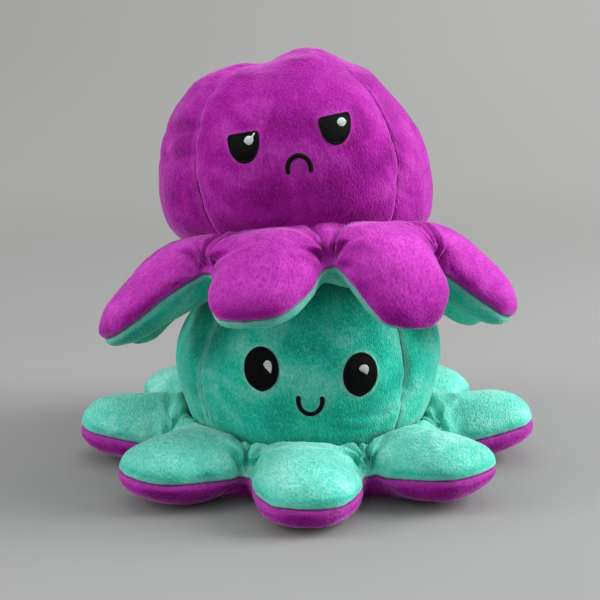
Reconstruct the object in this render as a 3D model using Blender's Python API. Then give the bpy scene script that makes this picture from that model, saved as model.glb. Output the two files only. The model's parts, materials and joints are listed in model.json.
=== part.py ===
"""Two reversible plush octopuses, one sat on the other's head.

Each toy is a stuffed cap of four sewn head panels over a ring skirt with eight stuffed legs.
The pocket under the head holds the same cap in the other colour, pushed inside out.
Metres, +Z up, the lower toy's skirt flat on z = 0 and its face towards -Y.
"""

import math

import bmesh
import bpy
from mathutils import Matrix, Vector

MM = 0.001

# Sewing: the plush cloth, and the clearance kept where two sewn pieces meet.
CLOTH_THICKNESS = 1.6 * MM
SEAM_GAP = 0.3 * MM

# Head: a squarish cap that swells above the crease where it meets the skirt.
HEAD_RADIUS = 58.0 * MM
CREASE_RADIUS = 51.0 * MM
CREASE_HEIGHT = 21.5 * MM
HEAD_RISE = 77.0 * MM
BELLY_RISE = 28.0 * MM
CROWN_RADIUS = 1.5 * MM
PLAN_POWER = 2.2
PANEL_COLUMNS = 4
BELLY_ROWS = 2
DOME_ROWS = 5
PANEL_TURNS = {"front": 0.0, "right": 90.0, "back": 180.0, "left": 270.0}

# Skirt: a stuffed ring whose top and under cloths meet at the leg notches.
MOUTH_RADIUS = 45.0 * MM
NOTCH_RADIUS = 65.0 * MM
FLAT_RADIUS = 50.0 * MM
NOTCH_HALF_THICKNESS = 1.5 * MM
SKIRT_SEAM_HEIGHT = 13.9 * MM
SKIRT_STEPS = 32

# Pocket: the cap of the other colour, pushed up inside the head.
POCKET_TOP = 62.0 * MM
POCKET_RADIUS = 46.5 * MM
POCKET_POWER = 2.4
POCKET_STEPS = 16
POCKET_ROWS = 4

# Legs: each turns about its root, a stuffed roll lying along the skirt's rim.
LEG_COUNT = 8
LEG_LENGTH = 36.0 * MM
LEG_HALF_WIDTH = 23.4 * MM
ROOT_RADIUS = 11.5 * MM
ROOT_CLEARANCE = 0.35 * MM
LEG_TOP_SWELL = 13.2 * MM
FLOOR_CUT = 0.5 * MM
OUTLINE_POWER = 2.2
SIDE_STATIONS = 5
ROOT_STEPS = 16
# The leg's middle section in front of its root: shares of its length and of its swell.
SECTION_SHARES = [(1.0, 0.0), (0.94, 0.46), (0.74, 0.84), (0.50, 1.0), (0.25, 1.0)]

# Embroidery: satin thread standing on the cloth.
THREAD_HEIGHT = 1.2 * MM
GLINT_HEIGHT = 0.8 * MM
ROUND_STEPS = 12
MOUTH_STEPS = 6
LINE_HALF_WIDTH = 1.1 * MM

# Lower toy: flat on the floor, its soft head pushed forward and aside by the toy on top.
LOWER_LEAN_SIDE = 3.2 * MM
LOWER_LEAN_FRONT = 10.0 * MM
LOWER_HINGE_RADIUS = 64.0 * MM
LOWER_EYE_HALF_WIDTH = 6.9 * MM
LOWER_EYE_HALF_HEIGHT = 9.1 * MM
LOWER_LEFT_EYE_X = -18.6 * MM
LOWER_LEFT_EYE_RISE = 34.5 * MM
LOWER_RIGHT_EYE_X = 21.5 * MM
LOWER_RIGHT_EYE_RISE = 32.1 * MM
LOWER_LEFT_GLINT_X = 2.6 * MM
LOWER_LEFT_GLINT_RISE = 1.2 * MM
LOWER_RIGHT_GLINT_X = 1.6 * MM
LOWER_RIGHT_GLINT_RISE = 2.3 * MM
LOWER_GLINT_HALF_WIDTH = 2.0 * MM
LOWER_GLINT_HALF_HEIGHT = 2.5 * MM
LOWER_MOUTH_X = 1.2 * MM
LOWER_MOUTH_RISE = 22.4 * MM
LOWER_MOUTH_HALF_WIDTH = 4.6 * MM
LOWER_MOUTH_DEPTH = 7.4 * MM

# Upper toy: tilted on the lower head, its skirt hanging from the crease.
UPPER_SHIFT_SIDE = 1.2 * MM
UPPER_SHIFT_FRONT = 4.6 * MM
UPPER_SEAT_LIFT = 7.44 * MM
UPPER_NOTCH_HEIGHT = 6.5 * MM
UPPER_MOUTH_HEIGHT = 1.5 * MM
UPPER_HINGE_RADIUS = 63.0 * MM
UPPER_HINGE_LIFT = 0.26 * MM
UPPER_UNDER_SWELL = 11.5 * MM
UPPER_EYE_HALF_WIDTH = 6.3 * MM
UPPER_EYE_HALF_HEIGHT = 9.3 * MM
UPPER_LEFT_EYE_X = -20.7 * MM
UPPER_LEFT_EYE_RISE = 38.9 * MM
UPPER_RIGHT_EYE_X = 15.9 * MM
UPPER_RIGHT_EYE_RISE = 42.9 * MM
UPPER_GLINT_X = 2.4 * MM
UPPER_GLINT_RISE = -0.7 * MM
UPPER_GLINT_RADIUS = 1.7 * MM
UPPER_MOUTH_X = 0.4 * MM
UPPER_MOUTH_RISE = 24.6 * MM
UPPER_MOUTH_HALF_WIDTH = 4.6 * MM
UPPER_MOUTH_DEPTH = 6.2 * MM

TEAL = (0.045, 0.60, 0.45, 1.0)
PURPLE = (0.21, 0.010, 0.33, 1.0)
BLACK = (0.008, 0.008, 0.010, 1.0)
PALE_GREY = (0.62, 0.64, 0.68, 1.0)

LOWER = {
    "name": "lower",
    "outside": TEAL,
    "inside": PURPLE,
    "pitch": 0.0,
    "roll": 0.0,
    "dome_power": 1.8,
    "lean": (LOWER_LEAN_SIDE, LOWER_LEAN_FRONT),
    "notch_seam_height": SKIRT_SEAM_HEIGHT,
    "mouth_height": 0.0,
    "hinge_radius": LOWER_HINGE_RADIUS,
    "hinge_lift": 0.0,
    "under_swell": SKIRT_SEAM_HEIGHT + FLOOR_CUT,
    "on_floor": True,
    # azimuth, droop at the root, curl along the leg, share of the leg's length
    "legs": [(45.0 * i, 0.0, 0.0, 1.0) for i in range(LEG_COUNT)],
    "eye_size": (LOWER_EYE_HALF_WIDTH, LOWER_EYE_HALF_HEIGHT),
    "eye_places": {
        "left": (LOWER_LEFT_EYE_X, LOWER_LEFT_EYE_RISE),
        "right": (LOWER_RIGHT_EYE_X, LOWER_RIGHT_EYE_RISE),
    },
    "lid_share": 1.0,
    "lid_slopes": {"left": 0.0, "right": 0.0},
    "glint_offsets": {
        "left": (LOWER_LEFT_GLINT_X, LOWER_LEFT_GLINT_RISE),
        "right": (LOWER_RIGHT_GLINT_X, LOWER_RIGHT_GLINT_RISE),
    },
    "glint_size": (LOWER_GLINT_HALF_WIDTH, LOWER_GLINT_HALF_HEIGHT),
    "mouth_place": (LOWER_MOUTH_X, LOWER_MOUTH_RISE),
    "mouth_size": (LOWER_MOUTH_HALF_WIDTH, LOWER_MOUTH_DEPTH),
    "mouth_turn": -1.0,
}

UPPER = {
    "name": "upper",
    "outside": PURPLE,
    "inside": TEAL,
    "pitch": -9.5,
    "roll": -5.2,
    "dome_power": 2.3,
    "lean": (0.0, 0.0),
    "notch_seam_height": UPPER_NOTCH_HEIGHT,
    "mouth_height": UPPER_MOUTH_HEIGHT,
    "hinge_radius": UPPER_HINGE_RADIUS,
    "hinge_lift": UPPER_HINGE_LIFT,
    "under_swell": UPPER_UNDER_SWELL,
    "on_floor": False,
    "legs": [
        (-14.5, 26.0, 12.0, 0.88),
        (30.5, 32.0, 62.0, 0.97),
        (75.5, 28.0, 46.0, 1.08),
        (120.5, 28.0, 52.0, 1.12),
        (165.5, 18.0, 34.0, 1.0),
        (210.5, 18.0, 34.0, 1.0),
        (255.5, 28.0, 50.0, 1.0),
        (300.5, 26.0, 14.0, 1.12),
    ],
    "eye_size": (UPPER_EYE_HALF_WIDTH, UPPER_EYE_HALF_HEIGHT),
    "eye_places": {
        "left": (UPPER_LEFT_EYE_X, UPPER_LEFT_EYE_RISE),
        "right": (UPPER_RIGHT_EYE_X, UPPER_RIGHT_EYE_RISE),
    },
    "lid_share": 0.28,
    "lid_slopes": {"left": 3.8, "right": 7.2},
    "glint_offsets": {"left": (UPPER_GLINT_X, UPPER_GLINT_RISE), "right": (UPPER_GLINT_X, UPPER_GLINT_RISE)},
    "glint_size": (UPPER_GLINT_RADIUS, UPPER_GLINT_RADIUS),
    "mouth_place": (UPPER_MOUTH_X, UPPER_MOUTH_RISE),
    "mouth_size": (UPPER_MOUTH_HALF_WIDTH, UPPER_MOUTH_DEPTH),
    "mouth_turn": 1.0,
}


def clear_scene():
    for obj in list(bpy.data.objects):
        bpy.data.objects.remove(obj, do_unlink=True)


def plush(name, colour, roughness=0.9):
    material = bpy.data.materials.new(name)
    material.use_nodes = True
    shader = material.node_tree.nodes["Principled BSDF"]
    shader.inputs["Base Color"].default_value = colour
    shader.inputs["Roughness"].default_value = roughness
    shader.inputs["Metallic"].default_value = 0.0
    return material


def add_object(name, bm, colour, parent):
    """A closed mesh as a named object under its toy's or its leg's empty."""
    bmesh.ops.recalc_face_normals(bm, faces=bm.faces)
    mesh = bpy.data.meshes.new(name)
    bm.to_mesh(mesh)
    bm.free()
    mesh.shade_smooth()
    mesh.set_sharp_from_angle(angle=math.radians(40.0))
    mesh.materials.append(plush(name + "_cloth", colour))
    obj = bpy.data.objects.new(name, mesh)
    bpy.context.scene.collection.objects.link(obj)
    obj.parent = parent
    return obj


def add_empty(name, matrix, parent=None):
    empty = bpy.data.objects.new(name, None)
    bpy.context.scene.collection.objects.link(empty)
    empty.parent = parent
    empty.matrix_local = matrix
    return empty


def outward(azimuth, radius, height):
    """A point at this radius; azimuth 0 faces -Y and turns towards +X."""
    angle = math.radians(azimuth)
    return Vector((radius * math.sin(angle), -radius * math.cos(angle), height))


def head_rows(toy):
    """The head's outline from crease to crown, as pairs of radius and rise above the crease."""
    rows = []
    for i in range(BELLY_ROWS):
        share = i / BELLY_ROWS
        swell = math.sin(share * math.pi / 2.0)
        rows.append((CREASE_RADIUS + (HEAD_RADIUS - CREASE_RADIUS) * swell, BELLY_RISE * share))
    power = 2.0 / toy["dome_power"]
    last = math.acos((CROWN_RADIUS / HEAD_RADIUS) ** (1.0 / power))
    for i in range(DOME_ROWS + 1):
        angle = last * i / DOME_ROWS
        radius = HEAD_RADIUS * math.cos(angle) ** power
        rows.append((radius, BELLY_RISE + (HEAD_RISE - BELLY_RISE) * math.sin(angle) ** power))
    return rows


def head_point(toy, azimuth, radius, rise, inset=0.0):
    """A point of the head: the round outline made squarish and leant forward with height."""
    angle = math.radians(azimuth)
    corner = (abs(math.cos(angle)) ** PLAN_POWER + abs(math.sin(angle)) ** PLAN_POWER) ** (-1.0 / PLAN_POWER)
    square = 1.0 + (corner - 1.0) * min(rise / BELLY_RISE, 1.0)
    slope = min(rise / HEAD_RISE, 1.0)
    drop = inset * max(0.0, (rise - BELLY_RISE) / (HEAD_RISE - BELLY_RISE))
    reach = max(radius - inset, CROWN_RADIUS / 2.0)
    point = outward(azimuth, reach * square, CREASE_HEIGHT + rise - drop)
    point.x += toy["lean"][0] * slope * slope
    point.y -= toy["lean"][1] * slope * slope
    return point


def skin(bm, rings, closed_round):
    """Quads between successive rings of vertices."""
    for near, far in zip(rings, rings[1:]):
        count = len(near)
        for i in range(count if closed_round else count - 1):
            j = (i + 1) % count
            bm.faces.new((near[i], near[j], far[j], far[i]))


def add_head_panel(toy, side, parent):
    """One gore of the head: a cloth shell from crease to crown between two seams."""
    turn = PANEL_TURNS[side]
    bm = bmesh.new()
    layers = []
    for inset in (0.0, CLOTH_THICKNESS):
        rows = []
        for radius, rise in head_rows(toy):
            reach = max(radius - inset, CROWN_RADIUS / 2.0)
            seam = math.degrees(SEAM_GAP / 2.0 / reach)
            row = []
            for i in range(PANEL_COLUMNS + 1):
                azimuth = turn - 45.0 + seam + (90.0 - 2.0 * seam) * i / PANEL_COLUMNS
                row.append(bm.verts.new(head_point(toy, azimuth, radius, rise, inset)))
            rows.append(row)
        layers.append(rows)
    outer, inner = layers
    skin(bm, outer, False)
    skin(bm, inner, False)
    rim = [row[0] for row in outer] + outer[-1][1:-1] + [row[-1] for row in reversed(outer)]
    rim += list(reversed(outer[0][1:-1]))
    back = [row[0] for row in inner] + inner[-1][1:-1] + [row[-1] for row in reversed(inner)]
    back += list(reversed(inner[0][1:-1]))
    skin(bm, [rim, back], True)
    add_object(f"{toy['name']}_head_{side}_panel", bm, toy["outside"], parent)


def pocket_rows(inset):
    """The pocket's outline from mouth to top, as pairs of radius and height."""
    start = SKIRT_SEAM_HEIGHT + SEAM_GAP
    rows = []
    power = 2.0 / POCKET_POWER
    for i in range(POCKET_ROWS):
        angle = math.pi / 2.0 * i / POCKET_ROWS
        radius = (POCKET_RADIUS - inset) * math.cos(angle) ** power
        height = start + (POCKET_TOP - inset - start) * math.sin(angle) ** power
        rows.append((radius, height))
    return rows, POCKET_TOP - inset


def pocket_rings(bm, inset):
    """Rings of the pocket's wall, closed at the top by a fan."""
    rows, top = pocket_rows(inset)
    rings = []
    for radius, height in rows:
        ring = []
        for i in range(POCKET_STEPS):
            ring.append(bm.verts.new(outward(360.0 * i / POCKET_STEPS, radius, height)))
        rings.append(ring)
    skin(bm, rings, True)
    pole = bm.verts.new((0.0, 0.0, top))
    last = rings[-1]
    for i in range(POCKET_STEPS):
        bm.faces.new((last[i], last[(i + 1) % POCKET_STEPS], pole))
    return rings[0]


def add_pocket_liner(toy, parent):
    """The other cap's cloth, pushed up inside the head, open at the mouth."""
    bm = bmesh.new()
    outer = pocket_rings(bm, 0.0)
    inner = pocket_rings(bm, CLOTH_THICKNESS)
    skin(bm, [outer, inner], True)
    add_object(f"{toy['name']}_pocket_liner", bm, toy["inside"], parent)


def add_head_fill(toy, parent):
    """The stuffing between the head panels and the pocket's cloth."""
    bm = bmesh.new()
    inset = CLOTH_THICKNESS + SEAM_GAP
    steps = 4 * PANEL_COLUMNS
    rings = []
    for radius, rise in head_rows(toy)[:-1]:
        ring = []
        for i in range(steps):
            azimuth = 45.0 + 360.0 * i / steps
            ring.append(bm.verts.new(head_point(toy, azimuth, radius, max(rise, SEAM_GAP), inset)))
        rings.append(ring)
    skin(bm, rings, True)
    pole = bm.verts.new(head_point(toy, 0.0, 0.0, HEAD_RISE, inset))
    for i in range(steps):
        bm.faces.new((rings[-1][i], rings[-1][(i + 1) % steps], pole))
    bm.faces.new(rings[0])
    fill = add_object(f"{toy['name']}_head_fill", bm, PALE_GREY, parent)
    hollow = bmesh.new()
    bottom = pocket_rings(hollow, -SEAM_GAP)
    hollow.faces.new(bottom)
    cut_from([fill], hollow, f"{toy['name']}_pocket_space", parent)


def cut_from(bodies, bm, name, parent):
    """A hidden cutter taken out of each body."""
    cutter = add_object(name, bm, PALE_GREY, parent)
    cutter.hide_render = True
    cutter.display_type = "WIRE"
    for body in bodies:
        cut = body.modifiers.new(name, "BOOLEAN")
        cut.operation = "DIFFERENCE"
        cut.solver = "EXACT"
        cut.object = cutter


def lathe(section, steps):
    """A ring turned from a closed section of radius and height pairs."""
    bm = bmesh.new()
    turns = []
    for i in range(steps):
        azimuth = 360.0 * i / steps
        turns.append([bm.verts.new(outward(azimuth, radius, height)) for radius, height in section])
    turns.append(turns[0])
    skin(bm, turns, True)
    return bm


def seam_height(toy, radius):
    """Height of the seam between the skirt's top and under cloths."""
    share = (radius - MOUTH_RADIUS) / (NOTCH_RADIUS - MOUTH_RADIUS)
    return SKIRT_SEAM_HEIGHT + (toy["notch_seam_height"] - SKIRT_SEAM_HEIGHT) * share


def hinge_height(toy):
    """Height of a leg's axis: on the skirt's seam, or a little over it where the skirt hangs."""
    return seam_height(toy, toy["hinge_radius"]) + toy["hinge_lift"]


def add_skirt(toy, parent):
    """The ring that joins head, pocket and legs, as its top half and its under half."""
    half_gap = SEAM_GAP / 2.0
    inner_top = POCKET_RADIUS + SEAM_GAP
    notch_top = toy["notch_seam_height"] + NOTCH_HALF_THICKNESS
    notch_bottom = toy["notch_seam_height"] - NOTCH_HALF_THICKNESS
    top_section = [
        (inner_top, seam_height(toy, inner_top) + half_gap),
        (NOTCH_RADIUS, toy["notch_seam_height"] + half_gap),
        (NOTCH_RADIUS, notch_top),
        (CREASE_RADIUS, CREASE_HEIGHT - SEAM_GAP),
        (inner_top, CREASE_HEIGHT - SEAM_GAP),
    ]
    under_section = [
        (MOUTH_RADIUS, toy["mouth_height"]),
        (FLAT_RADIUS, toy["mouth_height"]),
        (NOTCH_RADIUS, notch_bottom),
        (NOTCH_RADIUS, toy["notch_seam_height"] - half_gap),
        (MOUTH_RADIUS, seam_height(toy, MOUTH_RADIUS) - half_gap),
    ]
    top = add_object(f"{toy['name']}_skirt_top", lathe(top_section, SKIRT_STEPS), toy["outside"], parent)
    under_ring = lathe(under_section, SKIRT_STEPS)
    under = add_object(f"{toy['name']}_skirt_under", under_ring, toy["inside"], parent)
    return [top, under]


def side_stations():
    """Shares of the leg's half width, from one side to the other, with no end points."""
    angles = [math.pi * (i + 1) / (SIDE_STATIONS + 1) for i in range(SIDE_STATIONS)]
    return [-math.cos(angle) for angle in angles]


def add_root_socket(toy, number, parent, skirt):
    """The hollow in the skirt that a leg's root turns in."""
    bm = bmesh.new()
    radius = ROOT_RADIUS + ROOT_CLEARANCE
    half = LEG_HALF_WIDTH + ROOT_CLEARANCE
    rings = []
    for side in side_stations():
        local = radius * math.sqrt(1.0 - side * side)
        ring = []
        for i in range(ROOT_STEPS):
            angle = 2.0 * math.pi * i / ROOT_STEPS
            ring.append(bm.verts.new((local * math.cos(angle), half * side, local * math.sin(angle))))
        rings.append(ring)
    skin(bm, rings, True)
    for ring, end in ((rings[0], -half), (rings[-1], half)):
        pole = bm.verts.new((0.0, end, 0.0))
        for i in range(ROOT_STEPS):
            bm.faces.new((ring[i], ring[(i + 1) % ROOT_STEPS], pole))
    cut_from(skirt, bm, f"{toy['name']}_leg_{number}_socket", parent)


def leg_path(length, curl):
    """A function from a distance along the leg to its place and heading in the root's frame."""
    rate = math.radians(curl) / length

    def place(distance):
        if distance <= 0.0 or rate == 0.0:
            return distance, 0.0, 0.0
        angle = rate * distance
        return math.sin(angle) / rate, -(1.0 - math.cos(angle)) / rate, angle

    return place


def leg_profile(toy, length, is_top):
    """The leg's middle section, from the tip back over the swell to the rear of the root."""
    swell = LEG_TOP_SWELL if is_top else toy["under_swell"]
    points = [(length * along_share, swell * up_share) for along_share, up_share in SECTION_SHARES]
    for angle in (90.0, 135.0):
        turn = math.radians(angle)
        points.append((ROOT_RADIUS * math.cos(turn), ROOT_RADIUS * math.sin(turn)))
    points.append((-ROOT_RADIUS, 0.0))
    return points


def add_leg_half(toy, number, spec, is_top, parent):
    """The top or the under half of a leg, closed along the seam that runs round its edge."""
    length = LEG_LENGTH * spec[3]
    place = leg_path(length, spec[2])
    profile = leg_profile(toy, length, is_top)
    sign = 1.0 if is_top else -1.0
    base = [(0.0, 0.0), (length * 0.5, 0.0)]
    section = profile + base
    bm = bmesh.new()
    rings = []
    for side in side_stations():
        rise = math.sqrt(1.0 - side * side)
        reach = (1.0 - abs(side) ** OUTLINE_POWER) ** (1.0 / OUTLINE_POWER)
        ring = []
        for along, up in section:
            distance = along * (reach if along > 0.0 else rise)
            forward, lift, heading = place(distance)
            height = sign * (up * rise + SEAM_GAP / 2.0)
            x = forward + height * math.sin(heading)
            z = lift + height * math.cos(heading)
            ring.append(bm.verts.new((x, LEG_HALF_WIDTH * side, z)))
        rings.append(ring)
    skin(bm, rings, True)
    count = len(section)
    for ring, end in ((rings[0], -1.0), (rings[-1], 1.0)):
        pole = bm.verts.new((0.0, LEG_HALF_WIDTH * end, sign * SEAM_GAP / 2.0))
        for i in range(count):
            bm.faces.new((ring[i], ring[(i + 1) % count], pole))
    bmesh.ops.triangulate(bm, faces=bm.faces)
    if toy["on_floor"] and not is_top:
        cut_on_floor(bm, -hinge_height(toy))
    half = "top" if is_top else "under"
    colour = toy["outside"] if is_top else toy["inside"]
    add_object(f"{toy['name']}_leg_{number}_{half}", bm, colour, parent)


def cut_on_floor(bm, floor):
    """Cuts a form flat where it rests on the floor."""
    geometry = bm.verts[:] + bm.edges[:] + bm.faces[:]
    cut = bmesh.ops.bisect_plane(
        bm, geom=geometry, plane_co=(0.0, 0.0, floor), plane_no=(0.0, 0.0, -1.0), clear_outer=True
    )
    edges = [item for item in cut["geom_cut"] if isinstance(item, bmesh.types.BMEdge)]
    bmesh.ops.edgeloop_fill(bm, edges=edges)


def add_leg(toy, number, spec, skirt, parent):
    """A leg and its root, on an empty that lies on the axis the leg turns about."""
    azimuth, droop = spec[0], spec[1]
    turn = Matrix.Rotation(math.radians(azimuth - 90.0), 4, "Z")
    tilt = Matrix.Rotation(math.radians(droop), 4, "Y")
    place = Matrix.Translation(outward(azimuth, toy["hinge_radius"], hinge_height(toy)))
    hinge = add_empty(f"{toy['name']}_leg_{number}_hinge", place @ turn @ tilt, parent)
    add_leg_half(toy, number, spec, True, hinge)
    add_leg_half(toy, number, spec, False, hinge)
    add_root_socket(toy, number, hinge, skirt)


def face_point(toy, x, rise, lift):
    """A point this far in front of the head's front cloth, at this width and rise."""
    if rise < BELLY_RISE:
        radius = CREASE_RADIUS + (HEAD_RADIUS - CREASE_RADIUS) * math.sin(rise / BELLY_RISE * math.pi / 2.0)
    else:
        share = (rise - BELLY_RISE) / (HEAD_RISE - BELLY_RISE)
        radius = HEAD_RADIUS * (1.0 - share ** toy["dome_power"]) ** (1.0 / toy["dome_power"])
    azimuth = math.degrees(math.asin(x / radius))
    for _ in range(4):
        reach = head_point(toy, azimuth, radius, rise)
        azimuth += math.degrees((x - reach.x) / radius)
    return head_point(toy, azimuth, radius + lift, rise)


def add_patch(toy, name, outline, centre, lift, height, colour, parent):
    """Satin stitching: a low pad that follows the head, fanned about its middle."""
    bm = bmesh.new()
    layers = []
    for level in (lift, lift + height):
        ring = [bm.verts.new(face_point(toy, x, rise, level)) for x, rise in outline]
        middle = bm.verts.new(face_point(toy, centre[0], centre[1], level))
        for i, vert in enumerate(ring):
            bm.faces.new((vert, ring[(i + 1) % len(ring)], middle))
        layers.append(ring)
    skin(bm, layers, True)
    add_object(f"{toy['name']}_{name}", bm, colour, parent)


def eye_outline(toy, side):
    """An oval; an angry eye has its top cut off by the straight line of a lid."""
    centre_x, centre_rise = toy["eye_places"][side]
    half_width, half_height = toy["eye_size"]
    slope = math.tan(math.radians(toy["lid_slopes"][side]))
    start = math.asin(toy["lid_share"])
    last = ROUND_STEPS if toy["lid_share"] == 1.0 else ROUND_STEPS - 1
    points = []
    for i in range(ROUND_STEPS):
        angle = start - (math.pi + 2.0 * start) * i / last
        x = half_width * math.cos(angle)
        points.append((centre_x + x, centre_rise + half_height * math.sin(angle) + slope * x))
    return points, (centre_x, centre_rise)


def add_eye(toy, side, parent):
    outline, centre = eye_outline(toy, side)
    add_patch(toy, f"eye_{side}", outline, centre, SEAM_GAP, THREAD_HEIGHT, BLACK, parent)
    half_width, half_height = toy["glint_size"]
    x = centre[0] + toy["glint_offsets"][side][0]
    rise = centre[1] + toy["glint_offsets"][side][1]
    ring = []
    for i in range(ROUND_STEPS):
        angle = 2.0 * math.pi * i / ROUND_STEPS
        ring.append((x + half_width * math.cos(angle), rise + half_height * math.sin(angle)))
    lift = 2.0 * SEAM_GAP + THREAD_HEIGHT
    add_patch(toy, f"eye_highlight_{side}", ring, (x, rise), lift, GLINT_HEIGHT, PALE_GREY, parent)


def add_mouth(toy, parent):
    """A stitched arc: a smile opens upwards, a frown downwards."""
    centre_x, centre_rise = toy["mouth_place"]
    half_width, depth = toy["mouth_size"]
    bm = bmesh.new()
    rings = []
    for i in range(MOUTH_STEPS + 1):
        angle = math.pi * i / MOUTH_STEPS
        ring = []
        for reach, level in ((-1.0, 0.0), (1.0, 0.0), (1.0, 1.0), (-1.0, 1.0)):
            x = (half_width + reach * LINE_HALF_WIDTH) * math.cos(angle)
            rise = toy["mouth_turn"] * (depth + reach * LINE_HALF_WIDTH) * math.sin(angle)
            lift = SEAM_GAP + THREAD_HEIGHT * level
            ring.append(bm.verts.new(face_point(toy, centre_x + x, centre_rise + rise, lift)))
        rings.append(ring)
    skin(bm, rings, True)
    bm.faces.new(rings[0])
    bm.faces.new(rings[-1])
    add_object(f"{toy['name']}_mouth", bm, BLACK, parent)


def seat_place():
    """Where the upper toy's frame sits: its mouth on the lower dome at the mouth's own radius."""
    share = min(MOUTH_RADIUS / HEAD_RADIUS, 1.0)
    power = LOWER["dome_power"]
    rise = BELLY_RISE + (HEAD_RISE - BELLY_RISE) * (1.0 - share ** power) ** (1.0 / power)
    return Vector((UPPER_SHIFT_SIDE, -UPPER_SHIFT_FRONT, CREASE_HEIGHT + rise + UPPER_SEAT_LIFT))


def build_toy(toy, place):
    roll = Matrix.Rotation(math.radians(toy["roll"]), 4, "Y")
    pitch = Matrix.Rotation(math.radians(toy["pitch"]), 4, "X")
    body = add_empty(f"{toy['name']}_toy", Matrix.Translation(place) @ roll @ pitch)
    for side in PANEL_TURNS:
        add_head_panel(toy, side, body)
    add_head_fill(toy, body)
    add_pocket_liner(toy, body)
    skirt = add_skirt(toy, body)
    for number, spec in enumerate(toy["legs"], start=1):
        add_leg(toy, number, spec, skirt, body)
    add_eye(toy, "left", body)
    add_eye(toy, "right", body)
    add_mouth(toy, body)


clear_scene()
build_toy(LOWER, Vector((0.0, 0.0, 0.0)))
build_toy(UPPER, seat_place())
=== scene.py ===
import json
import math
from collections import namedtuple

import bmesh
import bpy
import numpy as np
from mathutils import Matrix, Vector, noise
from mathutils.bvhtree import BVHTree
from mathutils.geometry import delaunay_2d_cdt
from mathutils.kdtree import KDTree


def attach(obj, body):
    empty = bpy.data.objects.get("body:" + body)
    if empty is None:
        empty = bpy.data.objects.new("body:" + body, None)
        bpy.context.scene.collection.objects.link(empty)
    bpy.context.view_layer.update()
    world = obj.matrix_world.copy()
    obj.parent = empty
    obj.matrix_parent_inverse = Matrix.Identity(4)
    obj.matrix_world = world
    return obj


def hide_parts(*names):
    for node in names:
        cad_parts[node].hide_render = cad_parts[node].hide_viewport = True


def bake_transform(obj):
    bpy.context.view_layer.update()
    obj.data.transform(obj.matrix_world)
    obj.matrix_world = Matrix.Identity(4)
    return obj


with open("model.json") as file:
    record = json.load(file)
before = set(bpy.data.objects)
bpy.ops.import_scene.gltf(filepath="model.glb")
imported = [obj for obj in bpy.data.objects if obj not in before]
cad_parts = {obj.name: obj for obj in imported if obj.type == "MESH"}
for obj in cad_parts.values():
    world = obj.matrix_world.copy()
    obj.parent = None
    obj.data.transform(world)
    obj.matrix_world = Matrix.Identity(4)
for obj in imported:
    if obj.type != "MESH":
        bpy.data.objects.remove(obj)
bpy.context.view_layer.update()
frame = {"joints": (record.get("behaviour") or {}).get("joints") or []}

# The two toys. Each is a sewn cap with eight legs spaced evenly round it, one toy sat on the other's
# head. A toy's own frame, with its mouth ring level and its face towards -Y, comes from its leg hinges.
MM = 0.001
TOYS = ("lower", "upper")
LEG_COUNT = 8
LEG_STEP = 360.0 / LEG_COUNT
# A leg's azimuth, droop at its root, curl along it, share of a full leg's length, twist, and swing to the right.
Leg = namedtuple("Leg", "azimuth droop curl share twist swing", defaults=(0.0, 1.0, 0.0, 0.0))
# Four of the lower toy's legs lie with their tips a little off the table.
LIFTED = {1: -6.0, 2: -10.0, 6: -5.5, 7: -3.5}
LEGS = {
    "lower": [Leg(LEG_STEP * i, LIFTED.get(i, 0.0)) for i in range(LEG_COUNT)],
    "upper": [
        Leg(-14.5, 27.0, 14.0, 0.83, swing=-1.5),
        Leg(30.5, 30.0, 52.0, 0.93, -8.0, -3.0),
        Leg(75.5, 42.0, 8.0, 0.98),
        Leg(120.5, 37.0, 34.0, 1.1),
        Leg(165.5, 18.0, 34.0),
        Leg(210.5, 18.0, 34.0),
        Leg(255.5, 28.0, 50.0),
        Leg(300.5, 25.0, 12.0, 1.1, 12.0),
    ],
}
HINGE_HEIGHT = {"lower": 13.9 * MM, "upper": 7.5 * MM}
# The upper toy has sunk this much deeper into the lower one's soft head than the solids have.
SETTLE = {"lower": 0.0, "upper": 3.0 * MM}


def outward(azimuth, radius, height):
    """A point of a toy's frame; azimuth 0 faces -Y and turns towards +X."""
    angle = math.radians(azimuth)
    return Vector((radius * math.sin(angle), -radius * math.cos(angle), height))


def toy_place(toy):
    """The matrix from a toy's own frame to the world, from the hinges that its legs turn about."""
    names = [f"{toy}_leg_{number}_bend" for number in range(1, LEG_COUNT + 1)]
    hinges = [Vector(joint["pos_m"]) for name in names for joint in frame["joints"] if joint["name"] == name]
    centre = sum(hinges, Vector()) / LEG_COUNT
    up = (hinges[0] - centre).cross(hinges[2] - centre).normalized()
    front = Matrix.Rotation(math.radians(-LEGS[toy][0].azimuth), 3, up) @ (hinges[0] - centre).normalized()
    across = up.cross(front)
    place = Matrix((across, -front, up)).transposed().to_4x4()
    place.translation = centre - up * HINGE_HEIGHT[toy] - Vector((0.0, 0.0, SETTLE[toy]))
    return place


PLACE = {toy: toy_place(toy) for toy in TOYS}

# Plush: short-pile knitted cloth, teal and purple, brushed so that patches of the nap catch the light.
# The pile's patches, streaks and grain are a node group, which each colour of cloth places with its own values.
TEAL = {
    "deep": (0.001, 0.24, 0.17, 1.0),
    "full": (0.006, 0.47, 0.34, 1.0),
    "brushed": (0.27, 0.68, 0.59, 1.0),
    "sheen": (0.62, 1.0, 0.93, 1.0),
}
PURPLE = {
    "deep": (0.12, 0.0, 0.10, 1.0),
    "full": (0.29, 0.0, 0.25, 1.0),
    "brushed": (0.50, 0.05, 0.45, 1.0),
    "sheen": (1.0, 0.36, 0.95, 1.0),
}
PILE_HEIGHT = 0.55 * MM
# What each vertex of a cloth carries: its place on the flat cut, how far it is from a seam, and how much paler it is
# painted, as painted light from overhead on upward faces and as the nap standing up round the embroidery.
CLOTH_PLACE = "cloth_place"
FROM_SEAM = "from_seam"
PAINTED_TOP_LIGHT_AND_NAP_RING = "painted_top_light_and_nap_ring"


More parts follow.
